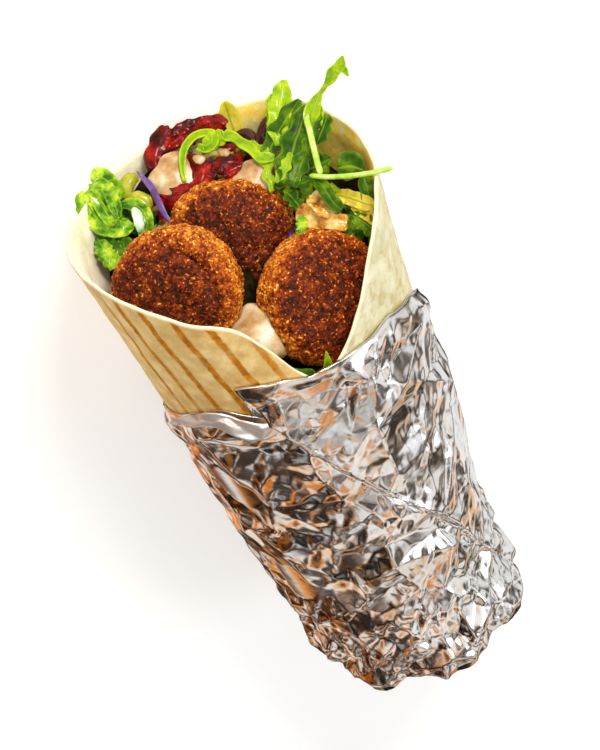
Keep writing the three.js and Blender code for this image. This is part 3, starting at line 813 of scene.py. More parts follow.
def lump_bundle(at, size, square=2, knobs=0.06, facing=(0, 0, 1), spin=0, detail=5, groove=0.0):
    """A rounded lump as the CAD model makes it, from a sphere of triangles."""
    bm = bmesh.new()
    bmesh.ops.create_icosphere(bm, subdivisions=detail, radius=1)
    p = np.array([v.co for v in bm.verts])
    faces = [[v.index for v in f.verts] for f in bm.faces]
    bm.free()
    ball = p.copy()
    seed = at[0] * 0.37 + at[1] * 0.11
    reach = (np.hypot(p[:, 0], p[:, 1]) ** square + np.abs(p[:, 2]) ** square) ** (-1 / square)
    bump = np.sin(4.1 * p[:, 0] + seed) * np.sin(3.7 * p[:, 1] + 2 * seed)
    bump = bump + 0.6 * np.sin(7.3 * p[:, 2] + 5.2 * p[:, 0] + seed)
    p = p * (reach * (1 + knobs * bump))[:, None]
    around = np.hypot(p[:, 0], p[:, 1])
    crack = np.exp(-(((around - 0.84 - 0.05 * bump) / 0.05) ** 2)) * (p[:, 2] > 0)
    p = p * np.array(size, float)
    turn = Vector((0, 0, 1)).rotation_difference(Vector(facing).normalized())
    turn = turn @ Quaternion((0, 0, 1), math.radians(spin))
    p = p @ np.array(turn.to_matrix()).T
    p = p * (1 - groove * crack * smooth(-p[:, 0] / size[0], 0.1, 0.5))[:, None] + np.array(at, float)
    return (p, faces, ball[:, :2] * 0.5 + 0.5), ball


# %% Helpers for Geometry Nodes
def geometry_tree(name, sockets):
    """A node group with a mesh in, a mesh out and named inputs (kind, default)."""
    tree = bpy.data.node_groups.new(name, "GeometryNodeTree")
    tree.interface.new_socket("Mesh", in_out="INPUT", socket_type="NodeSocketGeometry")
    for label, (kind, default) in sockets.items():
        made = tree.interface.new_socket(label, in_out="INPUT", socket_type="NodeSocket" + kind)
        if default is not None:
            made.default_value = default
    tree.interface.new_socket("Mesh", in_out="OUTPUT", socket_type="NodeSocketGeometry")
    return tree, {out.name: Field(out) for out in add(tree, "NodeGroupInput").outputs}


def ended(tree, geometry, material):
    """End a tree: make instances real, set their material and put them out."""
    real = field(tree, "GeometryNodeRealizeInstances", {"Geometry": geometry})
    done = field(tree, "GeometryNodeSetMaterial", {"Geometry": real, "Material": material})
    add(tree, "NodeGroupOutput", {0: done})
    return tree


def grown(host, tree, settings):
    """Run a tree on a host object and return the result as a plain mesh."""
    modifier = host.modifiers.new(tree.name, "NODES")
    modifier.node_group = tree
    keys = {s.name: s.identifier for s in tree.interface.items_tree if s.in_out == "INPUT"}
    for label, value in settings.items():
        modifier[keys[label]] = value
    bpy.context.view_layer.update()
    solved = host.evaluated_get(bpy.context.evaluated_depsgraph_get())
    mesh = bpy.data.meshes.new_from_object(solved)
    host.modifiers.remove(modifier)
    return mesh


# %% The crumb tree
def crumb_tree():
    """Pushes a mesh out along its normals by lumps and by grains, and stores the grains' height."""
    sockets = {"Lumps": ("Float", 0.0009), "Grains": ("Float", 0.0006), "Grain Size": ("Float", 0.0008)}
    tree, given = geometry_tree("fried_crumb", {**sockets, "Crust": ("Material", None)})
    where = field(tree, "GeometryNodeInputPosition")

    def speckle(scale, detail, output=0):
        inputs = {"Vector": where, "Scale": scale, "Detail": detail}
        return field(tree, "ShaderNodeTexNoise", inputs, output)

    def scaled(vector, size):
        return field(tree, "ShaderNodeVectorMath", {0: vector, "Scale": size}, operation="SCALE")

    broad = speckle(210.0, 3.0)
    shift = {0: where, 1: scaled(speckle(900.0, 2.0, "Color"), 0.0009)}
    inputs = {"Vector": field(tree, "ShaderNodeVectorMath", shift, operation="ADD"), "Randomness": 1.0}
    inputs["Scale"] = maths("DIVIDE", 1.0, given["Grain Size"])
    cell = field(tree, "ShaderNodeTexVoronoi", inputs, "Distance")
    grain = speckle(2300.0, 2.0) * 0.5 + (0.62 - cell)
    low = (broad - 0.5) * given["Lumps"]
    total = clip(broad * 6.0 - 1.9) * 0.0004 + (grain * given["Grains"] + low * 2.0)
    inputs = {"Geometry": given["Mesh"], "Name": "crumb", "Value": grain}
    inputs = {"Geometry": field(tree, "GeometryNodeStoreNamedAttribute", inputs)}
    inputs["Offset"] = scaled(field(tree, "GeometryNodeInputNormal"), total)
    return ended(tree, field(tree, "GeometryNodeSetPosition", inputs), given["Crust"])


# %% The scatter tree
def scatter_tree():
    """Lays turned grains of many sizes over the covered part of a mesh."""
    sockets = {"Grain": ("Object", None), "Per Square Metre": ("Float", 1e5), "Smallest": ("Float", 0.3)}
    sockets.update({"Largest": ("Float", 1.0), "Seed": ("Int", 1), "Finish": ("Material", None)})
    tree, given = geometry_tree("scattered_grains", sockets)
    cover = field(tree, "GeometryNodeInputNamedAttribute", {"Name": "cover"}, data_type="FLOAT")
    inputs = {"Mesh": given["Mesh"], "Density": given["Per Square Metre"] * cover, "Seed": given["Seed"]}
    spots = field(tree, "GeometryNodeDistributePointsOnFaces", inputs, "Points")
    inputs = {"Object": given["Grain"], "As Instance": True}
    source = field(tree, "GeometryNodeObjectInfo", inputs, "Geometry")
    swing = field(tree, "FunctionNodeRandomValue", {1: (6.28, 6.28, 6.28)}, data_type="FLOAT_VECTOR")
    inputs = {2: given["Smallest"], 3: given["Largest"], "Seed": given["Seed"]}
    size = field(tree, "FunctionNodeRandomValue", inputs, 1, data_type="FLOAT")
    inputs = {"Points": spots, "Instance": source, "Rotation": swing, "Scale": size}
    return ended(tree, field(tree, "GeometryNodeInstanceOnPoints", inputs), given["Finish"])


fried_crumb = crumb_tree()
scattered = scatter_tree()
print("trees:", fried_crumb.name, scattered.name)

# %% Fried chickpea crust material
def crust_material(name, stops, rough):
    """Deep-fried crumb, dark in its pits and golden on its grains, partly painted shade; greasy, IOR of oil
    near 1.47.
    """
    material, shader, where, _ = blank(name)
    # The stored crumb height colours pits dark and grain tops golden: partly the crust's fried colour, partly
    # painted shade in the pits and painted light on the tops.
    shade = mark(shader, "crumb") * 0.5 + (grainy(where, 2.6, rough=0.65) * 1.3 - 0.6)
    shade = mark(shader, "toast") * 0.36 + shade
    speck = clip(grainy(where, 0.9, detail=1.0) * 9.0 - 5.4)
    plug(shader, {"Base Color": ramp(clip(speck * 0.5 + shade), stops), "Roughness": rough})
    plug(shader, {"Normal": relief(grainy(where, 0.45), 0.2, 1.0), "IOR": 1.4, "Specular IOR Level": 0.25})
    return material


CRUST = [(0.0, "#200600"), (0.25, "#581A00"), (0.44, "#8A3402"), (0.6, "#B65C0A"), (0.78, "#DE9024")]
fried_crust = crust_material("fried_chickpea_crust", CRUST + [(1.0, "#F6C86A")], 0.6)
LIGHTER = [(0.0, "#3E1203"), (0.35, "#8A380C"), (0.6, "#C06A1A"), (0.85, "#E3A040"), (1.0, "#F8D08A")]
loose_crust = crust_material("loose_fried_crumbs", LIGHTER, 0.45)
print("crust finishes:", fried_crust.name, loose_crust.name)

# %% A crumb to scatter
bm = bmesh.new()
bmesh.ops.create_icosphere(bm, subdivisions=1, radius=0.5 * MM)
draw = random.Random(3)
for v in bm.verts:
    v.co *= draw.uniform(0.7, 1.25)
    v.co.z *= 0.8
crumb_mesh = bpy.data.meshes.new("crumb")
bm.to_mesh(crumb_mesh)
bm.free()
crumb = bpy.data.objects.new("crumb", crumb_mesh)
bpy.context.scene.collection.objects.link(crumb)
CRUMBS = {"Grain": crumb, "Finish": loose_crust, "Per Square Metre": 46e4, "Smallest": 0.3, "Largest": 0.85}
print("a crumb has", len(crumb_mesh.polygons), "faces")

# %% The three falafel
DISC = (FALAFEL_R - 0.7, FALAFEL_R * 0.97 - 0.7, FALAFEL_H - 0.7)  # leaves room for the crumb
FALAFEL = {
    "falafel_left": ((22.6, 8.6, -12.8), (0.36, 0.8, 0.48), 20, 0.2),
    "falafel_right": ((-15.5, 19.2, -28.5), (-0.36, 0.84, 0.4), 75, 0.0),
    "falafel_middle": ((1.8, -10, -17), (0.02, 0.9, 0.43), 140, 0.0),
}
for number, (name, (at, facing_to, spin, groove)) in enumerate(FALAFEL.items()):
    bundle, ball = lump_bundle(at, DISC, 3, 0.025, facing_to, spin, 7, groove)
    toast = smooth(np.hypot(ball[:, 0], ball[:, 1]), 0.66, 0.96)
    host = piece(name + "_disc", bundle, fried_crust, {"toast": toast})
    crust = on_stage(name + "_crust", grown(host, fried_crumb, {"Crust": fried_crust}))
    cover = crust.data.attributes.new("cover", "FLOAT", "POINT")
    cover.data.foreach_set("value", (ball[:, 2] > -0.35).astype(np.float32))
    loose = grown(crust, scattered, {**CRUMBS, "Seed": 20 + number})
    crumbs = bpy.data.objects.new(name + "_crumbs", loose)
    bpy.context.scene.collection.objects.link(crumbs)
    bpy.data.objects.remove(host)
    show(crust, "falafel", name)
    show(crumbs, "falafel")
    print(name, len(crust.data.vertices), "points and", len(loose.polygons), "crumb faces")

# %% [markdown]
# ## Leaves and strips
# Salad is leaves, strips and stems that follow a path. One function samples a smooth path and
# finds the directions along, across and up at each point. A strip is rings round that path. A
# leaf is a thin closed sheet: its width follows the leaf's outline with lobes, it is cupped
# across, ruffled along its edges, and thinner there. Both carry a UV map, across and along.


# %% Paths, strips and leaves
def way(knots, steps, face):
    """A smooth path through knots (x, t, h), with unit vectors across it and up from it."""
    k = np.array(knots, float)
    k = np.concatenate(([2 * k[0] - k[1]], k, [2 * k[-1] - k[-2]]))
    t = np.linspace(0, len(knots) - 1, steps)
    i = np.minimum(t.astype(int), len(knots) - 2)
    f = (t - i)[:, None]
    a, b, c, d = k[i], k[i + 1], k[i + 2], k[i + 3]
    cubic = (2 * a - 5 * b + 4 * c - d) * f**2 + (3 * b - a - 3 * c + d) * f**3
    path = 0.5 * (2 * b + (c - a) * f + cubic)
    along = np.gradient(path, axis=0)
    across = np.cross(along, np.array(face, float))
    across /= np.maximum(np.linalg.norm(across, axis=1, keepdims=True), 1e-6)
    up = np.cross(across, along)
    up /= np.maximum(np.linalg.norm(up, axis=1, keepdims=True), 1e-6)
    return path, across, up


OPEN = (0, 0.7, 0.7)  # the way that the filling's surface faces


def strip(knots, wide, thick, face=OPEN, steps=30, sides=14, rough=0.12, end=0.28, seed=0):
    """A soft strip with half sizes wide and thick, its ends rounded over a share of its length."""
    path, across, up = way(knots, steps, face)
    share = np.linspace(0, 1, steps)
    body = np.minimum(1, np.sqrt(np.clip(np.minimum(share, 1 - share) / end, 0, 1) + 0.02))
    turn = np.linspace(0, 2 * math.pi, sides, endpoint=False)
    side = across[:, None] * np.cos(turn)[None, :, None] * (wide * body)[:, None, None]
    lift = up[:, None] * np.sin(turn)[None, :, None] * (thick * body)[:, None, None]
    out = side + lift
    out = out * (1 + rough * noise(path[:, None] + out, wide * 1.1, seed))[..., None]
    rings = path[:, None] + out
    uv = np.stack(np.broadcast_arrays((np.cos(turn) / 2 + 0.5)[None, :], share[:, None]), -1)
    return ring_bundle(rings[1:-1], path[0], path[-1], uv[1:-1])


def leaf(knots, wide, face=OPEN, cup=0.25, lobes=0.0, count=3, ruffle=0.0, tip=0.85, seed=0, thick=0.45,
         point=0.6, lumps=0.18, steps=44, n=15):
    """A leaf of half width wide. tip is where along it the outline starts to close to a point."""
    path, across, up = way(knots, steps, face)
    share = np.linspace(0, 1, steps)[:, None]
    q = np.linspace(-1, 1, n)[None, :]
    start = smooth(share, -0.05, 0.3) ** 0.7
    close = np.clip(1 - (np.maximum(share - tip, 0) / (1.02 - tip)) ** 2, 0, 1) ** point
    cut = 1 - lobes * (0.5 + 0.5 * np.cos(2 * math.pi * count * share + 0.9 * np.sign(q) + seed))
    half = wide * (0.22 + 0.78 * start) * close * cut + 0.12
    side = q * half
    wave = np.sin(2 * math.pi * (count + 1.3) * share + 2.1 * np.sign(q) + seed)
    lift = cup * half * q**2 + ruffle * np.abs(q) ** 1.5 * wave
    middle = path[:, None] + across[:, None] * side[..., None] + up[:, None] * lift[..., None]
    middle = middle + up[:, None] * (lumps * noise(middle, 2.6, seed))[..., None]
    body = thick * (1 - 0.6 * q**4) * (1 + 0.7 * np.exp(-((q / 0.12) ** 2)))
    uv = np.stack(np.broadcast_arrays(q / 2 + 0.5, share), -1)
    return sheet_bundle(middle, body, uv)


def slab(knots, wide, thick=1.5, **more):
    """A flat uneven slice with curled edges, such as roasted pepper or onion."""
    shape = dict(cup=-0.3, tip=0.88, lobes=0.16, ruffle=0.5, lumps=0.35, point=0.5, steps=34, n=11)
    return leaf(knots, wide, thick=thick, **{**shape, **more})


# %% [markdown]
# A leaf's blade is a ramp of greens over noise. Its midrib is a pale line on the UV map, its side
# veins run off it at an angle, and its edge is a little yellower. Washed leaves are wet, so a
# clear coat with the IOR of water lies over a waxy skin.


# %% Leaf material
def leaf_material(name, stops, rib, edge, wet=0.5, veins=7.0):
    """A leaf's blade with a midrib, side veins and a yellower edge."""
    material, shader, space, flat = blank(name)
    across, along, _ = parts(flat)
    off = abs(across - 0.5)
    slant = abs(maths("FRACT", (off * -1.3 + along) * veins) - 0.5)
    side_vein = clip(1.0 - slant * 9.0)
    midrib = clip(1.0 - off * 14.0)
    colour = mix(side_vein * 0.12, ramp(grainy(space, 4.0), stops), rib)
    colour = mix(clip(off * 6.0 - 2.2) * 0.35, mix(midrib * 0.6, colour, rib), edge)
    height = grainy(space, 1.2) * 0.8 + maths("MAXIMUM", side_vein * 0.5, midrib)
    plug(shader, {"Base Color": colour, "Normal": relief(height, 0.25, 0.7), "Roughness": 0.42})
    plug(shader, {"IOR": 1.4, "Specular IOR Level": 0.2})
    plug(shader, {"Coat Weight": wet, "Coat Roughness": 0.06, "Coat IOR": 1.33})
    plug(shader, {"Subsurface Weight": 0.3, "Subsurface Scale": 1.0 * MM, "Subsurface Radius": "#C8E070"})
    return material


LIME = [(0.37, "#2F6A02"), (0.5, "#76AE10"), (0.63, "#CBE43C")]
SHADE = [(0.3, "#254E06"), (0.55, "#43760A"), (0.75, "#769C14")]
DARK = [(0.3, "#183C00"), (0.5, "#366200"), (0.7, "#749606")]
PALE = [(0.3, "#6E9A0C"), (0.5, "#98BE12"), (0.72, "#C6DA1E")]
YELLOW = [(0.3, "#B9B02A"), (0.5, "#D9C83C"), (0.72, "#ECDC62")]
lettuce_green = leaf_material("crisp_lettuce_leaf", LIME, "#A8CE38", "#B4D224", 1.0, 4.0)
# A darker copy of the lettuce for leaves that lie in shade: painted shade.
lettuce_shade = leaf_material("painted_shade_lettuce_leaf", SHADE, "#8DB548", "#7FA62B", 0.4, 4.0)
rocket_green = leaf_material("rocket_leaf", DARK, "#94B42C", "#7A9C12", 0.15)
rocket_pale = leaf_material("young_rocket_leaf", PALE, "#C8DC62", "#BCD420", 0.45)
yellow_leaf = leaf_material("yellowed_lettuce_leaf", YELLOW, "#6F8420", "#E8DA6C", 0.3, 2.0)
print("leaf finishes:", [m.name for m in bpy.data.materials if "leaf" in m.name])

# %% [markdown]
# The heap of cut lettuce at the roll's left is folded strips: a long loop seen on its edge, broad
# bands that sweep round below it, a curl with a mint-coloured rib, and darker leaf between, which
# is a darker copy of the lettuce painted as shade. Every strip is its own leaf, and the strips of
# one finish are joined into one mesh.

# %% The lettuce heap
GREEN_STRIPS = [
    ([(33, -34, 7.5), (30, -34.5, 7.6), (28, -30, 5.6), (27.2, -25, 3.4)], 2.8, dict(cup=0.35, ruffle=0.4)),
    ([(33.4, -34, 7), (33.2, -27, 5), (32.4, -21, 2.4), (31, -17.4, 1)], 2.2, dict(cup=0.5, ruffle=0.3)),
    ([(29.6, -18, 2), (29.2, -24, 4.4), (29.4, -31, 6.8)], 1.9, dict(cup=0.6, ruffle=0.3)),
    ([(38, -33, 6.5), (37, -27, 4.8), (35.6, -22, 2.2), (33.4, -18.4, -0.4)], 3.6,
     dict(cup=-0.25, ruffle=0.6)),
    ([(38.5, -26, 2.6), (36.4, -21.6, 0.8), (33.4, -18, -0.2), (30, -16.4, -0.8), (27, -17.6, -0.4)], 2.5,
     dict(cup=0.35, ruffle=0.5)),
    ([(28.2, -22.4, 3), (25, -21.6, 2.6), (22.8, -19.4, 1.4), (22.2, -17, -0.6), (23.2, -14.8, -2.8)]
     + [(25.4, -13, -5)], 2.0, dict(cup=0.5, tip=0.93)),
    ([(38, -17, -1.5), (37.4, -12, -4.5), (35.5, -8, -7)], 2.8, dict(cup=0.3, ruffle=0.6, lobes=0.2)),
    ([(36, -31, 6.8), (34.4, -26.6, 4.8), (34, -23, 2.8)], 1.9, dict(cup=0.6)),
]
# Leaves in the heap's gaps and below it, in the darker copy: painted shade.
DARK_STRIPS = [
    ([(30.8, -31, 4.4), (30.9, -25, 1.8), (30.6, -19, -0.8)], 2.3, dict(cup=0.3)),
    ([(34, -16, -3.4), (31, -11, -6), (28.5, -7.5, -9)], 3.4, dict(cup=0.3, ruffle=0.5)),
    ([(27, -26, 0), (25.4, -21, -2.2), (26, -16, -4.4)], 2.6, dict(cup=0.2, ruffle=0.4)),
    ([(38.5, -20, -2), (36, -15, -4), (33, -12, -6)], 3, dict(cup=0.2, ruffle=0.5)),
    ([(37, -30, 1), (34, -33, 2.4), (29, -35, 2.6)], 3, dict(cup=0.2)),
    ([(7, 33, -35.5), (2, 36.6, -38.6), (-4, 38.4, -40.6)], 3.4, dict(face=(0, 1, 0.6), ruffle=0.5)),
]


def leaves(rows, **shared):
    """One bundle from rows of (knots, half width, settings), each with a seed of its own."""
    return joined(leaf(k, w, **{"seed": n, **shared, **more}) for n, (k, w, more) in enumerate(rows))


heap = leaves(GREEN_STRIPS, thick=0.4, lumps=0.5, count=5)
serve("lettuce_strips", heap, lettuce_green, "lettuce", "lettuce_heap")
serve("lettuce_inner_leaves", leaves(DARK_STRIPS), lettuce_shade, "lettuce")
RIB = [(0.3, "#9FCF9A"), (0.5, "#CFEAD0"), (0.7, "#F0FAEC")]
lettuce_rib = food("lettuce_rib", RIB, 3, 0.3, bump=0.15, soak=0.4, juice="#E0FFC0", coat=0.6)
ribs = [
    strip([(24.6, -19.4, 2.6), (24.4, -17, 1.4), (24.8, -14.6, -0.6), (26, -13.2, -2.6)], 1.5, 0.8, seed=2),
    strip([(34.6, -32.6, 6.8), (34.4, -29, 5.8), (33.6, -25.6, 4.4)], 0.8, 0.6, seed=3),
]
serve("lettuce_ribs", joined(ribs), lettuce_rib, "lettuce")
print("lettuce strips:", len(GREEN_STRIPS) + len(DARK_STRIPS))

# %% [markdown]
# Rocket has long lobed leaves on thin stems. The big dark leaves stand against the mouth's back
# wall with a young yellow-green leaf behind them. One sprig leans out past the rim and ends in a
# small folded lobe, and a bare stem lies across the rim.

# %% Rocket
BIG = [
    ([(-19, -7, -4), (-24, -12, 0), (-29, -16, 4), (-35.4, -21, 8.8)], 4.6, dict(lobes=0.35, cup=0.4)),
    ([(-21, -5, -5), (-26, -9, -1.6), (-32, -12, 2), (-36.4, -14, 4.4)], 3.0, dict(lobes=0.45, count=4)),
    ([(-16.4, -16.4, -0.6), (-22, -20, 3), (-28, -22.4, 6.6), (-34, -24.4, 9.6)], 3.4, dict(lobes=0.3)),
    ([(-14.6, -12.4, -3.4), (-20, -9, -5), (-24, -6.4, -6), (-28, -6.2, -6)], 2.7,
     dict(lobes=0.6, count=4, tip=0.6)),
    ([(-18.6, -8, -6.4), (-20, -3.6, -8.8), (-20.6, 0.4, -10.6)], 2.4, dict(lobes=0.5)),
    ([(-33, -11, 1.6), (-36.4, -13, 4.2), (-39.4, -15, 6.8)], 2.8, dict(cup=0.5, lobes=0.3)),
    ([(-25, -18, -3), (-30, -21, 0), (-35, -23, 2)], 4.4, dict(lobes=0.4, ruffle=0.8)),
    ([(-24, -12, -6), (-30, -10, -5), (-35, -9, -4)], 4, dict(lobes=0.5, ruffle=0.8)),
    ([(-28.2, -2, -3.6), (-29, 1.2, -5.4), (-29.6, 5, -8.4), (-31, 7.8, -11)], 1.9, dict(cup=0.5, tip=0.8)),
]
YOUNG = [
    ([(-22.6, -18.4, 1.6), (-25.4, -23, 6), (-28.6, -27.4, 10), (-32.4, -31, 14)], 3.6,
     dict(cup=0.3, lobes=0.2, tip=0.55, ruffle=0.5)),
    ([(-23, -23, 3.4), (-25.4, -27.6, 7.2), (-27.4, -31.6, 11)], 2.4, dict(cup=0.5, lobes=0.25, tip=0.55)),
    ([(-14.6, -24, 3.4), (-17, -20, 2.4), (-17.2, -16, 0.4), (-16, -12, -2.4), (-15, -8, -5.4)], 2.2,
     dict(lobes=0.6, count=4, ruffle=0.5, tip=0.6)),
    ([(-33, -14, 3.6), (-35.6, -16.4, 7), (-38, -18.8, 10)], 2.6, dict(cup=0.6, ruffle=0.4)),
    ([(-34, -15.6, 6), (-37, -17.2, 10), (-40.8, -18, 13.4)], 2.0, dict(cup=0.5, tip=0.3, point=1.0)),
    ([(-17, -8, -3), (-21.6, -10.4, -1), (-25, -12.6, 1.4)], 1.8, dict(cup=0.5, lobes=0.4, tip=0.4)),
]
ROUND_LEAF = [
    ([(-35.4, -4.4, -5.2), (-39, -3, -5.6), (-42, -0.4, -7)], 4.3, dict(cup=0.3)),
    ([(-41, 1, -7.6), (-40.6, 4, -10.6), (-39.6, 6.4, -13.4)], 2.2, dict(cup=0.4, tip=0.85)),
    ([(-33, 7.6, -14), (-36, 11.6, -16.6), (-38.4, 15.4, -19.4)], 2.9, dict(lobes=0.3, ruffle=0.5, tip=0.85)),
]
LIME_STEM = [(-36.6, -20, 10.4), (-33.6, -17, 8.6), (-32.6, -13, 6), (-31.6, -9, 3), (-30.6, -5, 0)]
LOW_STEM = [(-34.6, -18, 3), (-31, -14, 1.6), (-27, -10, -1), (-23, -7, -4)]
LONG_STEM = [(-26.6, -3, -2.2), (-31, 1, -2.6), (-36, 4.8, -2.6), (-42, 9, -2.2), (-49.5, 13.5, -1.2)]
SPRIG = [(-33.6, -15.4, 5), (-36, -17, 8.8), (-39.4, -18, 12), (-43, -18, 14.8), (-46.6, -18, 17.2)]
SPRIG_TIP = [(-42, -18, 14), (-46, -17.8, 17), (-48.6, -17.8, 18.8), (-50.2, -18.4, 20.8)]
SIDE_LOBE = [(-46.8, -18, 17.8), (-48.6, -16.6, 17.4), (-49.2, -14.6, 16)]
FRONT_TIP = [(-7, 37, -42), (-8.5, 39, -36.5), (-9.6, 40.4, -31)]


def stem(knots, wide, thick, steps=40):
    """A thin round stem with blunt ends."""
    return strip(knots, wide, thick, steps=steps, sides=10, rough=0.06, end=0.06)


serve("rocket_leaves", leaves(BIG, tip=0.5), rocket_green, "rocket", "rocket_bunch")
serve("young_rocket_leaves", leaves(YOUNG, tip=0.5), rocket_pale, "rocket")
STEM = [(0.3, "#8FC02A"), (0.5, "#B4DB4C"), (0.7, "#DDF09A")]
rocket_stem = food("rocket_stem", STEM, 3, 0.32, bump=0.08, soak=0.3, juice="#D0F080", coat=0.5)
stems = [stem(LIME_STEM + [(-30, -1, -2.6)], 0.95, 0.8), stem(LOW_STEM, 0.5, 0.45, 30)]
serve("rocket_lime_stems", joined(stems), rocket_stem, "rocket")
serve("rocket_long_stem", stem(LONG_STEM, 0.8, 0.75), rocket_stem, "rocket", "rocket_stem")
sprig = [stem(SPRIG, 0.8, 0.6), leaf(SPRIG_TIP, 1.9, cup=0.6, tip=0.5, lobes=0.25, count=2, point=1.0)]
sprig.append(leaf(SIDE_LOBE, 1.2, cup=0.6, tip=0.3, point=1.0, seed=2))
serve("rocket_sprig_leaf", joined(sprig), rocket_pale, "rocket", "rocket_sprig")
serve("rocket_round_leaf", leaves(ROUND_LEAF, tip=0.5), rocket_green, "rocket", "rocket_leaf")
front_tip = leaf(FRONT_TIP, 1.6, face=(0, 1, 0.2), cup=0.6, tip=0.1, point=1.1)
serve("rocket_tip_leaf", front_tip, rocket_pale, "rocket", "rocket_tip")
print("rocket leaves:", len(BIG) + len(YOUNG) + len(ROUND_LEAF))

# %% [markdown]
# Between them lie roasted red pepper, glossy with oil, a shred of red cabbage, pickled pepper,
# roasted aubergine, fried onion and a curl of frisee. Each is a soft strip or lump with its own
# unevenness. Oil lifts the coat's IOR to about 1.47, which sharpens the small white highlights.

# %% Roasted red pepper
RED = [(0.3, "#240000"), (0.48, "#5C0100"), (0.62, "#960602"), (0.76, "#D42E06")]
red_pepper = food("roasted_red_pepper", RED, 4, 0.32, 0.12, 1.8, 0.1, "#FF4020", 0.3, gloss=0.3)
PEPPERS = {  # rows of (knots, half width, thickness, seed, settings)
    "red_pepper_1": [
        ([(5.2, -41, 9.6), (7.4, -40.4, 8.4), (10, -38.8, 6.6), (12.6, -37, 4.6), (14, -34.6, 2)],
         3.5, 2.2, 1, {}),
        ([(8, -38.6, 4.4), (4, -39.6, 5.6), (0.6, -39.2, 5.4), (-1, -37.4, 3.8)], 3.0, 2.0, 2, dict(cup=0.4)),
    ],
    "red_pepper_2": [
        ([(-1.8, -39, 5.8), (-5, -39, 6.8), (-8.4, -38.2, 6.4), (-11, -36.6, 4.6)], 2.4, 2.0, 3, {}),
        ([(6.4, -40, 7.6), (1.6, -40.4, 7.6), (-3.4, -40, 7), (-7.6, -38.6, 5)], 1.9, 1.8, 9, dict(cup=0.5)),
    ],
    "red_pepper_3": [
        ([(3.4, -30, 4.4), (2.2, -26, 3), (0.6, -22, 1.2), (-2, -19.6, 0)], 3.6, 2.2, 4, {}),
        ([(-1.6, -21.4, 1.4), (-4.6, -20.6, 2.4), (-8, -20.4, 1.6), (-9.4, -20.4, 0.6)], 2.8, 2.2, 5, {}),
        ([(-0.6, -24, 3.2), (1.8, -21, 1.2), (4.6, -18.6, -0.6)], 2.6, 2.0, 6, {}),
        ([(-4, -18, 0.2), (-7, -18.4, 0.4), (-10, -19, 0)], 1.8, 1.8, 10, {}),
    ],
    "red_pepper_4": [
        ([(17.4, -25, 0), (13.4, -21, -1.4), (8.4, -19.4, -2.2), (3, -20, -1.8), (-1.4, -18.6, -2.8)],
         3.6, 2.2, 7, {}),
        ([(12, -23, 0.4), (8.4, -20.4, -0.6), (5, -19, -1)], 2.6, 2.0, 8, {}),
    ],
}
for name, rows in PEPPERS.items():
    strips = [slab(knots, wide, thick, seed=seed, **more) for knots, wide, thick, seed, more in rows]
    serve(name + "_strip", joined(strips), red_pepper, "red_pepper", name)
print("pepper slices:", sum(len(rows) for rows in PEPPERS.values()))

# %% Cabbage, pickle, aubergine and fried onion
PURPLE = [(0.3, "#4A2A66"), (0.5, "#74509A"), (0.66, "#A286BC"), (0.8, "#D8C8DC")]
PICKLE = [(0.3, "#8C8A12"), (0.5, "#B0AE1C"), (0.7, "#D2CC48")]
BROWN = [(0.3, "#1E0705"), (0.5, "#3E100A"), (0.7, "#64200F")]
ONION = [(0.34, "#7C4208"), (0.42, "#BE801E"), (0.52, "#DEB85C"), (0.66, "#F0DFA4")]
red_cabbage = food("red_cabbage", PURPLE, 5, 0.35, 0.1, 0.8, 0.2, "#C0A0FF", 0.3)
pickle = food("pickled_green_pepper", PICKLE, 4, 0.25, 0.15, 0.8, 0.3, "#E0E060", 0.7)
aubergine = food("roasted_aubergine", BROWN, 4, 0.28, 0.3, 1.5, 0.1, "#A03020", 0.6)
fried_onion = food("fried_onion", ONION, 4.5, 0.3, 0.25, 1.4, 0.3, "#FFD080", 0.5)

shred = [(19.4, -32.6, 5.6), (18.2, -28, 4.4), (17.2, -24, 3.2), (17, -21, 2), (17, -18, 0.4)]
shred = strip(shred + [(16.8, -15.6, -2), (16, -12.6, -5)], 1.15, 0.6, face=(0.5, 0.5, 0.7), steps=44)
serve("cabbage_shred_strip", shred, red_cabbage, "red_cabbage", "cabbage_shred")
wedge = lump_bundle((22.6, -22.8, 0.6), (3.8, 4.2, 2.6), 2.8, 0.07, (0.1, 0.7, 0.7), 30, 5)[0]
hook = strip([(19.6, -34.6, 2), (22.4, -34, 2.6), (25, -31.4, 1.6), (24.4, -27, 0)], 2.4, 1.4, seed=4)
serve("pickled_pepper_pieces", joined([wedge, hook]), pickle, "pickled_pepper", "pickled_pepper")
first = [(-12.6, -35, 1), (-15.4, -33, 0.6), (-17.4, -29.6, -1), (-20.6, -30.2, 0.6), (-25, -32, 3.6)]
second = [(-19, -3, -11), (-23.5, -1, -11.6), (-28, 2, -13), (-31, 4, -15)]
serve("aubergine_1_strip", slab(first, 2.4, 1.8, seed=7), aubergine, "aubergine", "aubergine_1")
serve("aubergine_2_strip", slab(second, 3.2, 1.8, seed=8), aubergine, "aubergine", "aubergine_2")
PETALS = [
    ([(-25.6, -2, -8.2), (-26.8, 2, -9.4), (-28, 6.6, -12)], 3.4),
    ([(-19.6, 0, -9.8), (-22.4, 3.6, -11.8), (-25.4, 6.8, -14)], 3.4),
    ([(-23.4, 5, -12.6), (-27.4, 7.4, -14), (-31, 8.6, -15.6)], 2.4),
]
petals = []
for seed, (knots, wide) in enumerate(PETALS, 1):
    petals.append(slab(knots, wide, 0.9, seed=seed, cup=0.6, ruffle=0.3, lobes=0.03, lumps=0.05))
serve("fried_onion_1_slices", joined(petals[:2]), fried_onion, "fried_onion", "fried_onion_1")
serve("fried_onion_2_slice", petals[2], fried_onion, "fried_onion", "fried_onion_2")

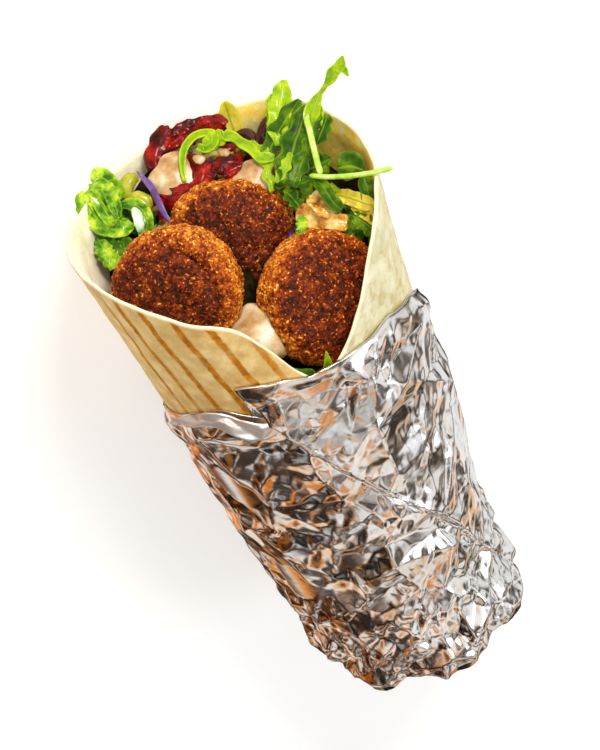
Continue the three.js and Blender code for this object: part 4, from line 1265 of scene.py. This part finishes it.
# %% The frisee curl, the back leaf and small bits
CURL = [
    ([(7.4, -21.6, 1.8), (6.2, -25, 4.6), (3.8, -29, 7.2), (0, -31.2, 8.6), (-3.6, -30.8, 8.8)]
     + [(-6.4, -28.8, 8.2), (-5.4, -26, 7), (-2.6, -25.4, 6.6), (-0.4, -27.4, 7.4)],
     1.0, dict(cup=0.9, tip=0.96)),
    ([(-3.6, -28, 7), (-8, -27.6, 7.4), (-11.4, -25.2, 6.4), (-14, -21, 4.2), (-16.4, -16.6, 1.4)]
     + [(-20, -15.4, 0.4)], 1.6, dict(cup=0.6, lobes=0.3, count=4, tip=0.93)),
    ([(-2, -25, 5.8), (-5.6, -27.4, 7.2), (-9, -26.6, 6.8)], 2.4, dict(cup=0.5, ruffle=0.5)),
]
LOW = [
    ([(-31.6, 0.6, -10), (-35.4, 4, -11.4), (-40, 9.4, -13.4)], 2.2, dict(cup=0.3, ruffle=0.5)),
    ([(-34.4, 5.6, -12.8), (-37.4, 9.6, -14.8), (-39.6, 13.6, -17)], 1.8, dict(cup=0.3, ruffle=0.5)),
]
BIT = [(-19.8, 4.6, -9), (-18.6, 7.2, -10.6), (-17, 9.8, -12.2)]
BACK = [(-12.4, -38.4, -3), (-13, -41, 3), (-13.6, -42.4, 9)]
serve("frisee_curl", leaves(CURL, thick=0.8), rocket_pale, "lettuce", "onion_curl")
back = leaf(BACK, 2.9, face=(0, 1, 0.1), cup=0.2, tip=0.6)
serve("yellow_back_leaf", back, yellow_leaf, "lettuce", "leaf_back")
bit = leaf(BIT, 1.7, ruffle=0.6, lobes=0.3, thick=0.9)
serve("lettuce_bit_leaf", bit, lettuce_green, "lettuce", "lettuce_bit")
serve("yellow_leaf_bits", leaves(LOW), yellow_leaf, "lettuce")
print("frisee, back leaf and bits are in")

# %% [markdown]
# Tahini sauce is thick, smooth and cream-coloured, tan where it is thin. The blobs are lumps that
# run into a few smaller ones, joined by a voxel remesh so that they flow into one another.

# %% Sauce
SAUCE = [(0.34, "#A2703C"), (0.46, "#C09A66"), (0.58, "#D8C096"), (0.7, "#ECE0C8")]
sauce = food("tahini_sauce", SAUCE, 7, 0.4, bump=0.2, fine=3, soak=0.3, juice="#FFD8A0", coat=0.25)


def blob(name, lumps, *nodes):
    """Lumps (at, size) melted into one smooth blob."""
    rough = piece(name, joined(lump_bundle(at, size, 2.2, 0.08, OPEN, 0, 4)[0] for at, size in lumps), sauce)
    melt = rough.modifiers.new("melt", "REMESH")
    melt.mode = "VOXEL"
    melt.voxel_size = 0.5 * MM
    rough.modifiers.new("ease", "SMOOTH").iterations = 24
    bpy.context.view_layer.update()
    mesh = bpy.data.meshes.new_from_object(rough.evaluated_get(bpy.context.evaluated_depsgraph_get()))
    bpy.data.objects.remove(rough)
    mesh.materials.clear()
    show(on_stage(name, mesh, sauce), "sauce", *nodes)


back_lumps = [((10, -25.6, 1), (8, 7.6, 2.8)), ((8, -30.4, 3), (6, 4.6, 2.6))]
blob("sauce_back_blob", back_lumps + [((14, -27.6, 2), (4.4, 4, 2.4))], "sauce_back")
side_lumps = [((-12, -15.6, -4), (7.6, 6.4, 2.8)), ((-8.6, -17.6, -2.8), (4.4, 3.4, 2.2))]
blob("sauce_side_blob", side_lumps, "sauce_side")
blob("sauce_front_blob", [((6.6, 25, -29), (9.4, 8.4, 5.4)), ((5, 20, -25), (5, 5, 4))], "sauce_front")
dollops = [((0.4, -25, 4.6), (2.0, 1.8, 1.2)), ((1.6, -26.4, 5), (1.3, 1.2, 1))]
dollops += [((-7, -23, 3.6), (2.0, 2.4, 1.3)), ((-6, -25, 4.6), (1.2, 1.2, 0.9))]
blob("sauce_dollops", dollops + [((-15.6, -12.6, -3.4), (2, 2.4, 1.6))])

# %% [markdown]
# ## The filling's core
# Under the toppings the salad is in deep shadow. Its CAD solid is replaced by a lower, uneven dark
# core, and a few dozen small strips of leaf, cabbage and pepper lie over it at random, so that
# every gap between the toppings shows more salad.

# %% The dark core
def filling_height(x, t):
    """The mean height of the salad, lowest behind the falafel."""
    mound = 2.2 * np.sin(x / 5.5 + 1) * np.sin(t / 6)
    low_back = 11 * smooth(np.abs(x + 27), 17, 9) * smooth(t, 0, -9)
    return -13 - 0.42 * (t + 8) - 9 * smooth(t, 5, 30) + mound - low_back


CORE_DROP = 2.5  # how far the core lies below the salad's mean height
core_angles = np.linspace(-180, 180, 121)[:-1] + 1.5
core_rings = []
for h, share in [(FLOOR_H + SHEET + CLEAR, 0.96), (-110, 1), (-60, 1)]:
    core_rings.append(polar(core_angles, (tortilla_radius(core_angles, h) - SHEET - CLEAR) * share, h))
for share in np.linspace(1, 0.04, 30):
    ring = core_rings[-1]
    for settle in range(3):  # the surface's own height gives its radius, so go round a few times
        r = (tortilla_radius(core_angles, ring[:, 2]) - SHEET - CLEAR) * share
        ring = polar(core_angles, r, 0.0)
        ring[:, 2] = filling_height(ring[:, 0], ring[:, 1]) - CORE_DROP
        ring[:, 2] = np.minimum(ring[:, 2], rim_height(core_angles) - 5)
    ring[:, 2] += 1.6 * noise(ring, 5, 9) * (1 - share**8)
    core_rings.append(ring)
core_ends = [0, 0, FLOOR_H + SHEET + CLEAR], [0, 0, filling_height(0, 0) - CORE_DROP]
CORE = [(0.35, "#120A03"), (0.5, "#24200A"), (0.65, "#3A140A")]
core = food("shaded_salad", CORE, 4, 0.7, bump=0.5, fine=1.5, gloss=0.1)
serve("salad_core", ring_bundle(np.array(core_rings), *core_ends), core, "salad_filling", "salad_filling")
print("core rings:", len(core_rings))

# %% Slices at random over the core
def random_strips(number, low, high, thick, seed):
    """Short bent slices that lie on the core, at random, inside the tortilla's wall."""
    draw = random.Random(seed)
    made = []
    while len(made) < number:
        x, t = draw.uniform(-38, 38), draw.uniform(-38, 34)
        heading, length = draw.uniform(0, math.pi), draw.uniform(3, 6.5)
        wide = draw.uniform(low, high)
        lift = draw.uniform(-0.6, 1.2)
        if t > -3 and -22 < x < 24:
            continue  # the falafel lie there
        knots = []
        for k in (-1, 0, 1):
            kx = x + k * length * math.cos(heading) + draw.uniform(-1, 1)
            kt = t + k * length * math.sin(heading) + draw.uniform(-1, 1)
            kh = float(filling_height(kx, kt)) - 1.2 + lift + (1.0 if k == 0 else 0)
            knots.append((kx, kt, kh))
        edge = [tortilla_radius(math.degrees(math.atan2(k[0], k[1])), k[2]) - SHEET - wide for k in knots]
        if any(math.hypot(k[0], k[1]) > room for k, room in zip(knots, edge)):
            continue
        made.append(slab(knots, wide, thick, steps=12, n=7, lumps=0.4, seed=draw.randrange(99)))
    return joined(made)


UNDER = [  # name, finish, slot, then number, least and most half width, thickness and seed
    ("under_lettuce_strips", lettuce_shade, "lettuce", 90, 1.6, 3.2, 0.5, 7),
    ("under_pale_leaf_strips", rocket_pale, "lettuce", 36, 1.4, 2.6, 0.5, 8),
    ("under_cabbage_shreds", red_cabbage, "red_cabbage", 18, 0.7, 1.3, 0.6, 9),
    ("under_pepper_strips", red_pepper, "red_pepper", 20, 1.4, 2.4, 1.2, 10),
    ("under_onion_slices", fried_onion, "fried_onion", 26, 1.2, 2.4, 0.8, 11),
]
for name, finish, slot, *numbers in UNDER:
    serve(name, random_strips(*numbers), finish, slot)
print("slices:", sum(row[3] for row in UNDER))

# %% Put the loose grain away and write the sizes
bpy.data.objects.remove(crumb)
print("pieces:", len(SHOWN), "triangles:", sum(count for _, count in SHOWN))
